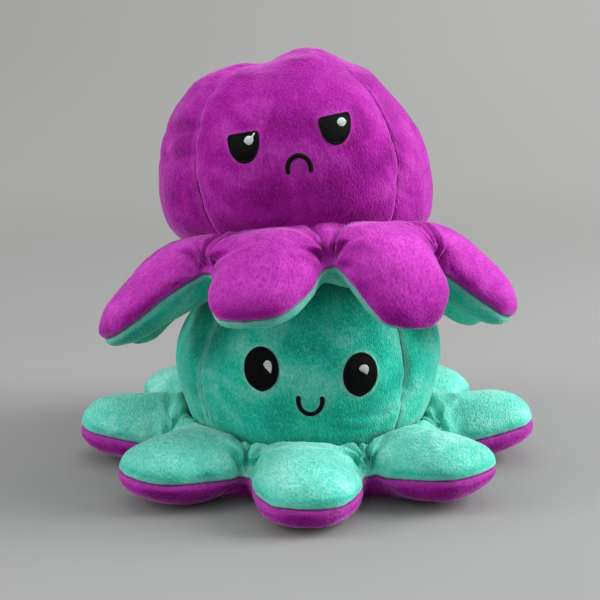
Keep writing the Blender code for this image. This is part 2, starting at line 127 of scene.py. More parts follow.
def set_inputs(tree, node, inputs):
    """Links each input of a node from a socket, or sets it to a value."""
    for label, value in inputs.items():
        if isinstance(value, bpy.types.NodeSocket):
            tree.links.new(value, node.inputs[label])
        else:
            node.inputs[label].default_value = value


def add_node(tree, kind, inputs=None, **settings):
    """A new node of a tree, with its settings and its inputs."""
    node = tree.nodes.new(kind)
    for name, value in settings.items():
        setattr(node, name, value)
    set_inputs(tree, node, inputs or {})
    return node


def new_tree(name, kind, inputs, outputs):
    """A node tree with its sockets made, and its two end nodes."""
    tree = bpy.data.node_groups.new(name, kind)
    for label, socket_kind, *value in inputs:
        socket = tree.interface.new_socket(label, in_out="INPUT", socket_type=f"NodeSocket{socket_kind}")
        if value:
            socket.default_value = value[0]
    for label, socket_kind in outputs:
        tree.interface.new_socket(label, in_out="OUTPUT", socket_type=f"NodeSocket{socket_kind}")
    return tree, tree.nodes.new("NodeGroupInput"), tree.nodes.new("NodeGroupOutput")


def new_material(name):
    """A material with its node tree and its shader."""
    material = bpy.data.materials.new(name)
    material.use_nodes = True
    return material, material.node_tree, material.node_tree.nodes["Principled BSDF"]


def blend_of(tree, share, below, above):
    """One colour over another, by a share."""
    return add_node(tree, "ShaderNodeMix", {0: share, 6: below, 7: above}, data_type="RGBA").outputs[2]


def pile_group():
    """The nap of plush: its colour and roughness, and the height of its pile."""
    tree, start, end = new_tree(
        "pile",
        "ShaderNodeTree",
        [
            ("Place", "Vector"),
            ("Deep", "Color"),
            ("Full", "Color"),
            ("Brushed", "Color"),
            ("Patch Size", "Float", 15.0 * MM),
            ("Streak Size", "Float", 2.2 * MM),
            ("Grain Size", "Float", 0.56 * MM),
            ("From Seam", "Float", 1.0),
            ("Lifted", "Float", 0.0),
        ],
        [("Color", "Color"), ("Height", "Float"), ("Roughness", "Float")],
    )
    given = start.outputs

    def maths(operation, *values, **settings):
        return add_node(tree, "ShaderNodeMath", dict(enumerate(values)), operation=operation, **settings).outputs[0]

    def noise_of(place, size, detail, roughness, distortion=0.0):
        inputs = {"Vector": place, "Scale": maths("DIVIDE", 1.0, given[size])}
        inputs |= {"Detail": detail, "Roughness": roughness, "Distortion": distortion}
        return add_node(tree, "ShaderNodeTexNoise", inputs).outputs[0]

    def ranged(value, low, high, to_low, to_high):
        inputs = {"Value": value, "From Min": low, "From Max": high, "To Min": to_low, "To Max": to_high}
        return add_node(tree, "ShaderNodeMapRange", inputs, interpolation_type="SMOOTHSTEP").outputs[0]

    lay = add_node(tree, "ShaderNodeMapping", {"Vector": given["Place"], "Scale": (1.0, 0.45, 0.45)}).outputs[0]
    patches = noise_of(given["Place"], "Patch Size", 3.0, 0.5, 0.35)
    streaks = noise_of(lay, "Streak Size", 2.0, 0.6, 0.3)
    grain = noise_of(lay, "Grain Size", 1.0, 0.6)
    # Random patches of brushed nap, together with painted light from overhead on upward faces, blend towards the
    # pale colour.
    brushed_and_top_lit = maths("ADD", ranged(patches, 0.46, 0.76, 0.0, 0.6), given["Lifted"], use_clamp=True)
    bright = maths("MULTIPLY", brushed_and_top_lit, ranged(streaks, 0.30, 0.70, 0.55, 1.0))
    colour = given["Deep"]
    for share, above in (
        (ranged(patches, 0.26, 0.56, 0.4, 1.0), "Full"),
        (bright, "Brushed"),
        (ranged(grain, 0.56, 0.30, 0.0, 0.40), "Deep"),
        (ranged(grain, 0.50, 0.74, 0.0, 0.24), "Brushed"),
        # Close to a seam the colour turns paler, and right on the seam line it is painted dark, painted shade in the
        # sewn groove.
        (ranged(given["From Seam"], 0.8 * MM, 3.6 * MM, 0.55, 0.0), "Brushed"),
        (ranged(given["From Seam"], 0.1 * MM, 0.9 * MM, 0.85, 0.0), "Deep"),
    ):
        colour = blend_of(tree, share, colour, given[above])
    set_inputs(tree, end, {
        "Color": colour,
        "Height": maths("MULTIPLY_ADD", streaks, 0.9, grain),
        "Roughness": ranged(patches, 0.30, 0.70, 0.95, 0.78),
    })
    return tree


PILE = pile_group()


def plush(name, colours):
    """Plush of one colour: the pile under a sheen of fine fibres."""
    material, tree, shader = new_material(name)
    inputs = {label: colours[label.lower()] for label in ("Deep", "Full", "Brushed")}
    for label, attribute, output in (
        ("Place", CLOTH_PLACE, "Vector"),
        ("From Seam", FROM_SEAM, "Fac"),
        ("Lifted", PAINTED_TOP_LIGHT_AND_NAP_RING, "Fac"),
    ):
        inputs[label] = add_node(tree, "ShaderNodeAttribute", attribute_name=attribute).outputs[output]
    pile = add_node(tree, "ShaderNodeGroup", inputs, node_tree=PILE).outputs
    bump = add_node(tree, "ShaderNodeBump", {"Distance": PILE_HEIGHT, "Strength": 0.8, "Height": pile["Height"]})
    set_inputs(tree, shader, {
        "Base Color": pile["Color"],
        "Roughness": pile["Roughness"],
        "Normal": bump.outputs["Normal"],
        "Sheen Weight": 0.75,
        "Sheen Roughness": 0.3,
        "Sheen Tint": colours["sheen"],
        "Specular IOR Level": 0.18,
    })
    material.diffuse_color = colours["full"]
    return material


TEAL_PLUSH = plush("teal_plush", TEAL)
PURPLE_PLUSH = plush("purple_plush", PURPLE)
# Each toy's two cloths, as their material and the record's slot.
OUTSIDE = {"lower": (TEAL_PLUSH, "teal_plush"), "upper": (PURPLE_PLUSH, "purple_plush")}
INSIDE = {"lower": (PURPLE_PLUSH, "purple_plush"), "upper": (TEAL_PLUSH, "teal_plush")}

# Skirts and legs: a top cloth in the outside colour and an under cloth in the inside colour, cut with eight
# lobes, sewn together round the edge, stuffed, and sewn to the head at the crease and to the pocket at the mouth.
CLOTH_STEP = 2.2 * MM
# The cut's points stray by this share of a step, and keep this share of a step from its drawn lines.
CLOTH_STRAY = 0.15
CLOTH_CLEARANCE = 0.72
# The widths that count as nothing, beside the middle of a triangle and beside a point.
HAIR = 0.0001 * MM
TOUCH = 0.05 * MM
CLOTH_THICKNESS = 1.3 * MM
# The cut: the rings where it is sewn to pocket and head, the band's edge, and the outline of a leg.
MOUTH_RADIUS = 45.0 * MM
CREASE_RADIUS = 51.0 * MM
BAND_RADIUS = 56.0 * MM
NOTCH_RADIUS = 67.0 * MM
NOTCH_END = 74.0 * MM
LEG_HALF_WIDTH = 24.0 * MM
LEG_ROOT_HALF_WIDTH = 23.0 * MM
LEG_LENGTH = {"lower": 38.0 * MM, "upper": 36.6 * MM}
OUTLINE_POWER = 2.5
HINGE_RADIUS = {"lower": 64.0 * MM, "upper": 63.0 * MM}
CORNER_POINTS = 12
TONGUE_POINTS = 40
# Heights of the rings and of the seam round the legs.
CREASE_HEIGHT = 21.5 * MM
MOUTH_HEIGHT = {"lower": 0.6 * MM, "upper": 1.5 * MM}
EDGE_HEIGHT = {"lower": 11.8 * MM, "upper": 8.3 * MM}
# How far a leg swells above and below its seam, and how full its section is.
TOP_SWELL = {"lower": 12.8 * MM, "upper": 11.2 * MM}
UNDER_SWELL = {"lower": 11.8 * MM, "upper": 11.0 * MM}
SECTION_POWER = 2.3
# Between the legs the cloth keeps its height towards the crease, up to this far round the notch.
WEB_FADE = 5.0 * MM
UNDER_WEB = 0.12
# Over these lengths the cloth rolls out of the crease, and the under cloth leaves the mouth's flat ring.
CREASE_ROLL = 10.0 * MM
MOUTH_FLAT_END = 48.0 * MM
MOUTH_ROLL_END = 55.0 * MM
# The simulation that settles the cloth, at this many times its size: its pressure, and how much shorter the
# sewing draws it at the seam, round each notch and along the fold from the crease to the notch.
SIM_SCALE = 10.0
SIM_FRAMES = 14
SIM_SETTINGS = {
    "quality": 6,
    "mass": 0.1,
    "tension_stiffness": 15.0,
    "compression_stiffness": 15.0,
    "shear_stiffness": 5.0,
    "bending_stiffness": 0.1,
    "air_damping": 5.0,
    "vertex_group_mass": "sewn",
    "use_pressure": True,
    "vertex_group_shrink": "gathered",
}
SKIRT_PRESSURE = 3.0
SEAM_GATHER = 0.04
NOTCH_GATHER = 0.10
NOTCH_GATHER_REACH = 9.0 * MM
FOLD_GATHER = 0.05
# The creases that fan out from each notch over the top cloth: directions, reach, width and depth, how far they
# stay from the seam, and how much a direction and a reach stray.
FAN_TURNS = (-72.0, -40.0, -8.0, 26.0, 60.0)
FAN_REACH = 16.0 * MM
FAN_HALF_WIDTH = 1.7 * MM
FAN_DEPTH = 3.8 * MM
FAN_SEAM_GAP = 3.0 * MM
FAN_TURN_STRAY = 9.0
FAN_REACH_STRAY = 0.3
# A radius along each leg, at which a point of the leg is worked out; nothing uses that point.
LEG_TURN_END = 76.0 * MM
# A leg's droop grows from the crease to this radius. Each leg holds this far round from its middle, and fades
# into the next by here.
DROOP_END = 65.0 * MM
DROOP_STEPS = 60
LEG_HOLD = 14.0
LEG_FADE = 31.0
# Where the cloth faces upwards it is painted paler, painted light from overhead: between which slopes, and by how
# much.
TOP_LIGHT_START, TOP_LIGHT_END = 0.0, 0.75
TOP_LIGHT_SHARE = {"lower": 0.55, "upper": 0.6}
# At the front, and on the right, the skirt runs lower or higher than elsewhere: by how much at its crease, its
# notches and its tips, and how far up the head follows.
FRONT_RISE = {"lower": (-2.3 * MM, 0.0, 0.0), "upper": (3.6 * MM, 5.6 * MM, 2.2 * MM)}
RIGHT_RISE = {"lower": (0.0, 0.0, 0.0), "upper": (-3.0 * MM, -2.6 * MM, -0.8 * MM)}
ARCH_REACH = 15.0 * MM
# The stuffing's lumps, coarse and fine, as their size and height, and how far the thread sinks the seam.
SKIRT_LUMPS = ((22.0 * MM, 0.8 * MM), (6.0 * MM, 0.18 * MM))
SKIRT_SEAM_DEPTH = 0.7 * MM
# The under cloth's faces carry their leg's number and this, and its flat places lie this much higher.
UNDER_NUMBER = 100
UNDER_PLACE = 50.0 * MM


def spaced(points, step):
    """The same line with its points evenly spaced, close to one step apart."""
    points = np.array(points, float)
    lengths = np.concatenate([[0.0], np.cumsum(np.linalg.norm(np.diff(points, axis=0), axis=1))])
    at = np.linspace(0.0, lengths[-1], max(1, round(lengths[-1] / step)) + 1)
    return np.column_stack([np.interp(at, lengths, points[:, k]) for k in range(points.shape[1])])


def smooth_share(value, low, high):
    """How far a value has come from low to high, eased at both ends."""
    share = np.clip((value - low) / (high - low), 0.0, 1.0)
    return share * share * (3.0 - 2.0 * share)


def flat(azimuth, radius):
    return outward(azimuth, radius, 0.0).xy


def notch_azimuths(toy):
    """The azimuths between one leg and the next, starting before the first leg."""
    return [leg.azimuth - LEG_STEP / 2.0 for leg in LEGS[toy]]


def turn_from_notch(toy, places):
    """How far round from the toy's first notch each place lies, in degrees."""
    return np.degrees(np.arctan2(places[:, 0], -places[:, 1])) - notch_azimuths(toy)[0]


def search_tree(points):
    """A tree that finds the nearest of some points."""
    tree = KDTree(len(points))
    for i, point in enumerate(points):
        tree.insert(point, i)
    tree.balance()
    return tree


def placed(name, data):
    """A new object in the scene."""
    piece = bpy.data.objects.new(name, data)
    bpy.context.scene.collection.objects.link(piece)
    return piece


def lobe_line(toy, leg, step):
    """The sewn edge of one leg, from the notch before it to the notch after it."""
    half_turn = math.radians(LEG_STEP / 2.0)
    notch = Vector((NOTCH_RADIUS * math.cos(half_turn), NOTCH_RADIUS * math.sin(half_turn)))
    inward = Vector((math.sin(half_turn), -math.cos(half_turn)))
    corner = notch + inward * (notch.y - LEG_ROOT_HALF_WIDTH) / math.cos(half_turn)
    root, length = HINGE_RADIUS[toy], LEG_LENGTH[toy] * leg.share
    start = math.asin(((NOTCH_END - root) / length) ** (OUTLINE_POWER / 2.0))

    def tongue(angle):
        along = root + length * math.sin(angle) ** (2.0 / OUTLINE_POWER)
        return Vector((along, LEG_HALF_WIDTH * max(math.cos(angle), 0.0) ** (2.0 / OUTLINE_POWER)))

    side = tongue(start)
    half = []
    for i in range(CORNER_POINTS):
        t = i / CORNER_POINTS
        half.append(notch * (1.0 - t) ** 2 + corner * 2.0 * t * (1.0 - t) + side * t * t)
    half += [tongue(start + (math.pi / 2.0 - start) * i / TONGUE_POINTS) for i in range(TONGUE_POINTS + 1)]
    turn = math.radians(leg.azimuth)
    sine, cosine = math.sin(turn), math.cos(turn)
    line = []
    for point, sign in [(p, -1.0) for p in half] + [(p, 1.0) for p in half[-2::-1]]:
        along, aside = point.x, point.y * sign
        line.append((along * sine + aside * cosine, aside * sine - along * cosine))
    return spaced(line, step)


def skirt_pattern(toy, seed):
    """The flat cut: points, triangles with their leg numbers (0 on the band), and which points are on the edge."""
    points, edges, known = [], set(), {}

    def index_of(point):
        key = (round(point[0] * 1e6), round(point[1] * 1e6))
        if key not in known:
            known[key] = len(points)
            points.append(tuple(point))
        return known[key]

    def add_line(line):
        places = [index_of(p) for p in line]
        edges.update(zip(places, places[1:]))
        return places

    edge_points = set()
    for leg in LEGS[toy]:
        edge_points.update(add_line(lobe_line(toy, leg, CLOTH_STEP)))
    for azimuth in notch_azimuths(toy):
        for radius in (MOUTH_RADIUS, CREASE_RADIUS, BAND_RADIUS):
            count = round(math.radians(LEG_STEP) * radius / CLOTH_STEP)
            add_line([flat(azimuth + LEG_STEP * i / count, radius) for i in range(count + 1)])
        radii = (MOUTH_RADIUS, CREASE_RADIUS, BAND_RADIUS, NOTCH_RADIUS)
        for near, far in zip(radii, radii[1:]):
            add_line(spaced([flat(azimuth, near), flat(azimuth, far)], CLOTH_STEP))
    tree = search_tree([(*point, 0.0) for point in points])
    rng = np.random.default_rng(seed)
    rise = CLOTH_STEP * math.sqrt(3.0) / 2.0
    rows = int(2.0 * BAND_RADIUS / rise)
    for row in range(-rows, rows + 1):
        for column in range(-rows, rows + 1):
            stray = rng.uniform(-CLOTH_STRAY, CLOTH_STRAY, 2) * CLOTH_STEP
            x, y = (column + 0.5 * (row % 2)) * CLOTH_STEP + stray[0], row * rise + stray[1]
            near = tree.find((x, y, 0.0))[2]
            if math.hypot(x, y) > MOUTH_RADIUS and near > CLOTH_CLEARANCE * CLOTH_STEP:
                points.append((x, y))
    found = delaunay_2d_cdt([Vector(p) for p in points], sorted(edges), [], 1, 1e-7)
    places = np.array([tuple(v) for v in found[0]])
    triangles = np.array([tuple(f) for f in found[2]])
    triangles = triangles[np.hypot(*places[triangles].mean(axis=1).T) > MOUTH_RADIUS - HAIR]
    corners = places[triangles]
    middle = corners.mean(axis=1)
    (ax, ay), (bx, by) = (corners[:, 1] - corners[:, 0]).T, (corners[:, 2] - corners[:, 0]).T
    backward = ax * by - ay * bx < 0.0
    triangles[backward] = triangles[backward][:, ::-1]
    number = 1 + (turn_from_notch(toy, middle) % 360.0 // LEG_STEP).astype(int)
    number[np.hypot(*middle.T) < BAND_RADIUS] = 0
    on_edge = np.array([any(o in edge_points for o in source) for source in found[3]])
    return places, triangles, number, on_edge


def stuffed(name, places, faces, pins, gathered, pressure):
    """Blender's cloth simulation with pressure inside: the places of the vertices once the piece is stuffed."""
    mesh = bpy.data.meshes.new(name)
    mesh.from_pydata((places * SIM_SCALE).tolist(), [], faces.tolist())
    piece = placed(name, mesh)
    piece.vertex_groups.new(name="sewn").add([int(i) for i in pins], 1.0, "ADD")
    least, most = float(gathered.min()), float(gathered.max())
    group = piece.vertex_groups.new(name="gathered")
    for i, share in enumerate(((gathered - least) / (most - least)).tolist()):
        group.add([i], share, "REPLACE")
    cloth = piece.modifiers.new("cloth", "CLOTH")
    drawn = {"uniform_pressure_force": pressure, "shrink_min": least, "shrink_max": most}
    for setting, value in (SIM_SETTINGS | drawn).items():
        setattr(cloth.settings, setting, value)
    cloth.settings.effector_weights.gravity = 0.0
    cloth.collision_settings.use_collision = False
    cloth.collision_settings.use_self_collision = False
    cloth.point_cache.frame_start = 1
    cloth.point_cache.frame_end = SIM_FRAMES
    for number in range(1, SIM_FRAMES + 1):
        bpy.context.scene.frame_set(number)
    result = piece.evaluated_get(bpy.context.evaluated_depsgraph_get()).data
    found = np.empty(len(result.vertices) * 3)
    result.vertices.foreach_get("co", found)
    bpy.data.objects.remove(piece, do_unlink=True)
    bpy.context.scene.frame_set(1)
    return found.reshape(-1, 3) / SIM_SCALE


def swollen(toy, points, is_top):
    """The stuffed form of flat points of one cloth: how far each lies from the sewn edge gives its height."""
    edge = np.vstack([lobe_line(toy, leg, 0.4 * MM) for leg in LEGS[toy]])
    nearest = [np.linalg.norm(edge - point, axis=1).argmin() for point in points]
    foot = edge[nearest]
    inside = points - foot
    distance = np.linalg.norm(inside, axis=1)
    angle = np.clip(distance / LEG_HALF_WIDTH, 0.0, 1.0) * math.pi / 2.0
    power = 2.0 / SECTION_POWER
    drawn = LEG_HALF_WIDTH * (1.0 - np.clip(np.cos(angle), 0.0, 1.0) ** power)
    moved = np.where(angle < math.pi / 2.0, drawn, distance)
    flat_radius = np.hypot(*points.T)
    keep = 1.0 - smooth_share(flat_radius, CREASE_RADIUS, CREASE_RADIUS + CREASE_ROLL)
    moved = moved + (distance - moved) * keep
    places = foot + inside * (moved / np.maximum(distance, 1e-9))[:, None]
    radius = np.hypot(*places.T)
    swell = np.sin(angle) ** power
    from_fold = 1.0 - np.abs(turn_from_notch(toy, points) % LEG_STEP - LEG_STEP / 2.0) / (LEG_STEP / 2.0)
    valley = np.clip((NOTCH_RADIUS - flat_radius) / (NOTCH_RADIUS - CREASE_RADIUS), 0.0, 1.0)
    valley = np.sin(valley * math.pi / 2.0) ** power
    web = (valley + (1.0 - valley) * np.sin(from_fold * math.pi / 2.0) ** power)
    web *= 1.0 - smooth_share(flat_radius, NOTCH_RADIUS - WEB_FADE, NOTCH_RADIUS + WEB_FADE)
    web *= 1.0 if is_top else UNDER_WEB
    swell = 1.0 - (1.0 - swell) * (1.0 - web)
    if is_top:
        height = EDGE_HEIGHT[toy] + TOP_SWELL[toy] * swell
        roll = np.clip((radius - CREASE_RADIUS) / CREASE_ROLL, 0.0, 1.0)
        height = CREASE_HEIGHT + (height - CREASE_HEIGHT) * np.sqrt(1.0 - (1.0 - roll) ** 2)
    else:
        height = EDGE_HEIGHT[toy] - UNDER_SWELL[toy] * swell
        roll = smooth_share(radius, MOUTH_FLAT_END, MOUTH_ROLL_END)
        height = MOUTH_HEIGHT[toy] + (height - MOUTH_HEIGHT[toy]) * roll
    return np.column_stack([places, height])


def hung(toy, places):
    """The stuffed skirt with each leg drooped at its root, curled along its length, twisted and swung aside."""
    azimuths = np.degrees(np.arctan2(places[:, 0], -places[:, 1]))
    radius = np.hypot(places[:, 0], places[:, 1])
    hinge, length = HINGE_RADIUS[toy], LEG_LENGTH[toy]
    droop, curl, rolled, swung, weight = np.zeros((5, len(places)))
    for leg in LEGS[toy]:
        apart = (azimuths - leg.azimuth + 180.0) % 360.0 - 180.0
        near = 1.0 - smooth_share(np.abs(apart), LEG_HOLD, LEG_FADE)
        droop += near * leg.droop
        curl += near * leg.curl
        rolled += near * math.tan(math.radians(leg.twist)) * radius * np.sin(np.radians(apart))
        swung += near * leg.swing
        weight += near
    droop, curl, rolled = np.radians(droop / weight), np.radians(curl / weight), rolled / weight
    swung = np.radians(swung / weight) * smooth_share(radius, hinge, hinge + length)

    def slope_at(at):
        at_root = droop * smooth_share(at, CREASE_RADIUS, DROOP_END)
        return at_root + curl * np.clip((at - hinge) / length, 0.0, None)

    along = np.clip(radius - CREASE_RADIUS, 0.0, None)
    forward, drop = np.zeros((2, len(places)))
    for i in range(DROOP_STEPS):
        slope = slope_at(CREASE_RADIUS + along * (i + 0.5) / DROOP_STEPS)
        forward += np.cos(slope) * along / DROOP_STEPS
        drop += np.sin(slope) * along / DROOP_STEPS
    slope = slope_at(radius)
    lift = places[:, 2] - EDGE_HEIGHT[toy]
    beyond = radius > CREASE_RADIUS
    new_radius = np.where(beyond, CREASE_RADIUS + forward + lift * np.sin(slope), radius)
    new_height = np.where(beyond, EDGE_HEIGHT[toy] - drop + lift * np.cos(slope), places[:, 2])
    new_height += rolled * smooth_share(radius, CREASE_RADIUS, DROOP_END)
    x, y = (places[:, :2] * (new_radius / radius)[:, None]).T
    turned = (x * np.cos(swung) - y * np.sin(swung), y * np.cos(swung) + x * np.sin(swung))
    return np.column_stack([*turned, new_height])


def finer(places, rest, faces, number, creased):
    """Loop's subdivision, once: every triangle becomes four, and lines between creased vertices stay lines."""
    count = len(places)
    sides = np.concatenate([faces[:, [0, 1]], faces[:, [1, 2]], faces[:, [2, 0]]])
    across = np.concatenate([faces[:, 2], faces[:, 0], faces[:, 1]])
    edges, edge_of, shared = np.unique(np.sort(sides, axis=1), axis=0, return_inverse=True, return_counts=True)
    edge_of = edge_of.ravel()
    first, second = edges.T
    opposite = np.zeros((len(edges), 3))
    np.add.at(opposite, edge_of, places[across])
    firm = (shared == 1) | (creased[first] & creased[second])
    ends = places[first] + places[second]
    middles = np.where(firm[:, None], ends / 2.0, ends * 0.375 + opposite * 0.125)
    around, meeting = np.zeros((count, 3)), np.zeros(count)
    line_ends, line_count = np.zeros((count, 3)), np.zeros(count)
    for near, far in ((first, second), (second, first)):
        np.add.at(around, near, places[far])
        np.add.at(meeting, near, 1.0)
        np.add.at(line_ends, near[firm], places[far[firm]])
        np.add.at(line_count, near[firm], 1.0)
    weight = np.where(meeting > 3, 3.0 / (8.0 * meeting), 3.0 / 16.0)[:, None]
    kept = places * (1.0 - weight * meeting[:, None]) + around * weight
    on_line = (line_count == 2)[:, None]
    kept = np.where(on_line, places * 0.75 + line_ends * 0.125, kept)
    kept = np.where((line_count > 2)[:, None] | (line_count == 1)[:, None], places, kept)
    ab, bc, ca = (edge_of + count).reshape(3, -1)
    a, b, c = faces.T
    small = np.concatenate([np.stack(t, 1) for t in ((a, ab, ca), (b, bc, ab), (c, ca, bc), (ab, bc, ca))])
    fine_rest = np.vstack([rest, (rest[first] + rest[second]) / 2.0])
    fine_creased = np.concatenate([creased, creased[first] & creased[second]])
    return np.vstack([kept, middles]), fine_rest, small, np.tile(number, 4), fine_creased


def normals_of(places, faces):
    """Smooth vertex normals of a mesh of triangles."""
    first, second, third = (places[faces[:, k]] for k in range(3))
    across = np.cross(second - first, third - first)
    normals = np.zeros_like(places)
    for k in range(3):
        np.add.at(normals, faces[:, k], across)
    return normals / np.maximum(np.linalg.norm(normals, axis=1, keepdims=True), 1e-12)


def lumps(places, normals, layers, seed):
    """Unevenness of the stuffing under the cloth, as shifts along the normals, that die away at the crease."""
    for layer, (size, height) in enumerate(layers):
        own = seed + 5 * layer
        offset = Vector((own * 3.7, own * 1.9, own * 5.3))
        shift = np.array([noise.fractal(Vector(p) / size + offset, 0.8, 2.0, 2) for p in places])
        from_crease = np.hypot(np.hypot(places[:, 0], places[:, 1]) - CREASE_RADIUS, places[:, 2] - CREASE_HEIGHT)
        shift *= smooth_share(from_crease, 0.0, CREASE_ROLL)
        places = places + normals * (shift * height)[:, None]
    return places


def arched(toy, places, rest=None):
    """The head near its crease, or with its flat places the skirt, raised or sunk at the front and on the right."""
    radius = np.hypot(places[:, 0], places[:, 1])
    front = np.clip(-places[:, 1] / np.maximum(radius, MM), 0.0, 1.0)
    right = np.clip(places[:, 0] / np.maximum(radius, MM), 0.0, 1.0) ** 2
    if rest is None:
        away = np.hypot(radius - CREASE_RADIUS, places[:, 2] - CREASE_HEIGHT)
        rise = (FRONT_RISE[toy][0] * front + RIGHT_RISE[toy][0] * right) * np.exp(-(away / ARCH_REACH) ** 2)
    else:
        at = (CREASE_RADIUS, NOTCH_RADIUS, HINGE_RADIUS[toy] + LEG_LENGTH[toy])
        rise = np.interp(radius, at, FRONT_RISE[toy]) * front + np.interp(radius, at, RIGHT_RISE[toy]) * right
        rise *= np.where(rest[:, 2] < MM, 1.0, smooth_share(radius, MOUTH_RADIUS, CREASE_RADIUS))
    return places + np.array([0.0, 0.0, 1.0]) * rise[:, None]


def seam_distances(places, on_seam):
    """How far each vertex lies from the nearest sewn one."""
    tree = search_tree(places[on_seam])
    return np.array([tree.find(p)[2] for p in places])


def only_used(faces):
    """The vertices that some faces use, and the faces counted by those."""
    used, inverse = np.unique(faces, return_inverse=True)
    return used, inverse.reshape(faces.shape)


def add_cloth(name, toy, places, faces, normals, rest, from_seam, cloth, lift=0.0):
    """A closed shell of cloth: the outer face as given, an inner face a cloth's thickness inside, and the rim."""
    used, outer = only_used(faces)
    count = len(used)
    inner = outer[:, ::-1] + count
    pairs = np.concatenate([outer[:, [0, 1]], outer[:, [1, 2]], outer[:, [2, 0]]]).tolist()
    present = {tuple(pair) for pair in pairs}
    rim = [(b, a, a + count, b + count) for a, b in pairs if (b, a) not in present]
    place = np.array(PLACE[toy])
    inside = places[used] - normals[used] * CLOTH_THICKNESS
    world = np.vstack([places[used], inside]) @ place[:3, :3].T + place[:3, 3]
    mesh = bpy.data.meshes.new(name)
    mesh.from_pydata(world.tolist(), [], outer.tolist() + inner.tolist() + rim)
    mesh.shade_smooth()
    turned = normals[used] @ place[:3, :3].T
    corner_normals = np.zeros((len(mesh.loops), 3))
    corner_normals[:outer.size] = turned[outer.ravel()]
    corner_normals[outer.size:2 * outer.size] = -turned[inner.ravel() - count]
    mesh.normals_split_custom_set(corner_normals.tolist())
    # Painted light: faces that look upwards are painted paler by this share, as the overhead light would leave them.
    top_light_and_ring = lift * smooth_share(turned[:, 2], TOP_LIGHT_START, TOP_LIGHT_END)
    for label, kind, field, values in (
        (CLOTH_PLACE, "FLOAT_VECTOR", "vector", rest[used]),
        (FROM_SEAM, "FLOAT", "value", from_seam[used]),
        (PAINTED_TOP_LIGHT_AND_NAP_RING, "FLOAT", "value", top_light_and_ring),
    ):
        attribute = mesh.attributes.new(label, kind, "POINT")
        attribute.data.foreach_set(field, np.concatenate([values, values]).astype(np.float32).ravel())
    mesh.materials.append(cloth[0])
    piece = placed(name, mesh)
    return piece


def fan_folds(toy, places, normals, rest, from_seam, rng):
    """The short creases that fan out from each notch, pressed into the top cloth along its normals."""
    depth = np.zeros(len(places))
    for azimuth in notch_azimuths(toy):
        notch = np.array(flat(azimuth, NOTCH_RADIUS))
        inward = -notch / NOTCH_RADIUS
        across = np.array([inward[1], -inward[0]])
        away = rest[:, :2] - notch
        along, aside = away @ inward, away @ across
        reach = np.hypot(along, aside)
        near = reach < FAN_REACH * 2.5
        bearing = np.degrees(np.arctan2(aside[near], along[near]))
        for turn in FAN_TURNS:
            turn += rng.uniform(-FAN_TURN_STRAY, FAN_TURN_STRAY)
            length = FAN_REACH * rng.uniform(1.0 - FAN_REACH_STRAY, 1.0 + FAN_REACH_STRAY)
            side = np.radians(np.abs(bearing - turn)) * reach[near]
            width = FAN_HALF_WIDTH * (0.6 + reach[near] / length * 0.7)
            fall = np.exp(-(reach[near] / length) ** 2) * smooth_share(reach[near], 0.0, 0.25 * length)
            depth[near] = np.maximum(depth[near], FAN_DEPTH * fall * np.exp(-(side / width) ** 2))
    depth *= smooth_share(from_seam, 0.0, FAN_SEAM_GAP) * (rest[:, 2] < MM)
    return places - normals * depth[:, None]


def skirt_mesh(toy, seed):
    """Both cloths of a skirt as one stuffed mesh in the toy's frame."""
    cut, triangles, number, on_edge = skirt_pattern(toy, seed)
    count = len(cut)
    is_top = np.hypot(*cut[triangles].mean(axis=1).T) > CREASE_RADIUS - HAIR
    under_index = np.arange(count) + np.where(on_edge, 0, count)
    places = hung(toy, np.vstack([swollen(toy, cut, True), swollen(toy, cut, False)]))
    rest = np.vstack([np.column_stack([cut, np.full(count, height)]) for height in (0.0, UNDER_PLACE)])
    numbers = np.concatenate([number[is_top], number + UNDER_NUMBER])
    used, faces = only_used(np.vstack([triangles[is_top], under_index[triangles][:, ::-1]]))
    places, rest = places[used], rest[used]
    ring = np.hypot(rest[:, 0], rest[:, 1])
    pins = np.nonzero(ring < np.where(used < count, CREASE_RADIUS, MOUTH_RADIUS) + TOUCH)[0]
    on_edge = np.concatenate([on_edge, np.zeros(count, bool)])[used]
    aside = (turn_from_notch(toy, rest) + LEG_STEP / 2.0) % LEG_STEP - LEG_STEP / 2.0
    aside = np.radians(aside) * ring
    on_fold = (np.abs(aside) < TOUCH) & (ring < NOTCH_RADIUS + TOUCH)
    at_notch = np.exp(-((ring - NOTCH_RADIUS) ** 2 + aside ** 2) / NOTCH_GATHER_REACH ** 2)
    gathered = np.where(on_fold, FOLD_GATHER, 0.0)
    gathered = np.where(on_edge, SEAM_GATHER + (NOTCH_GATHER - SEAM_GATHER) * at_notch, gathered)
    places = stuffed(f"{toy}_skirt_cloth", places, faces, pins, gathered, SKIRT_PRESSURE)
    return places, rest, faces, numbers, on_edge


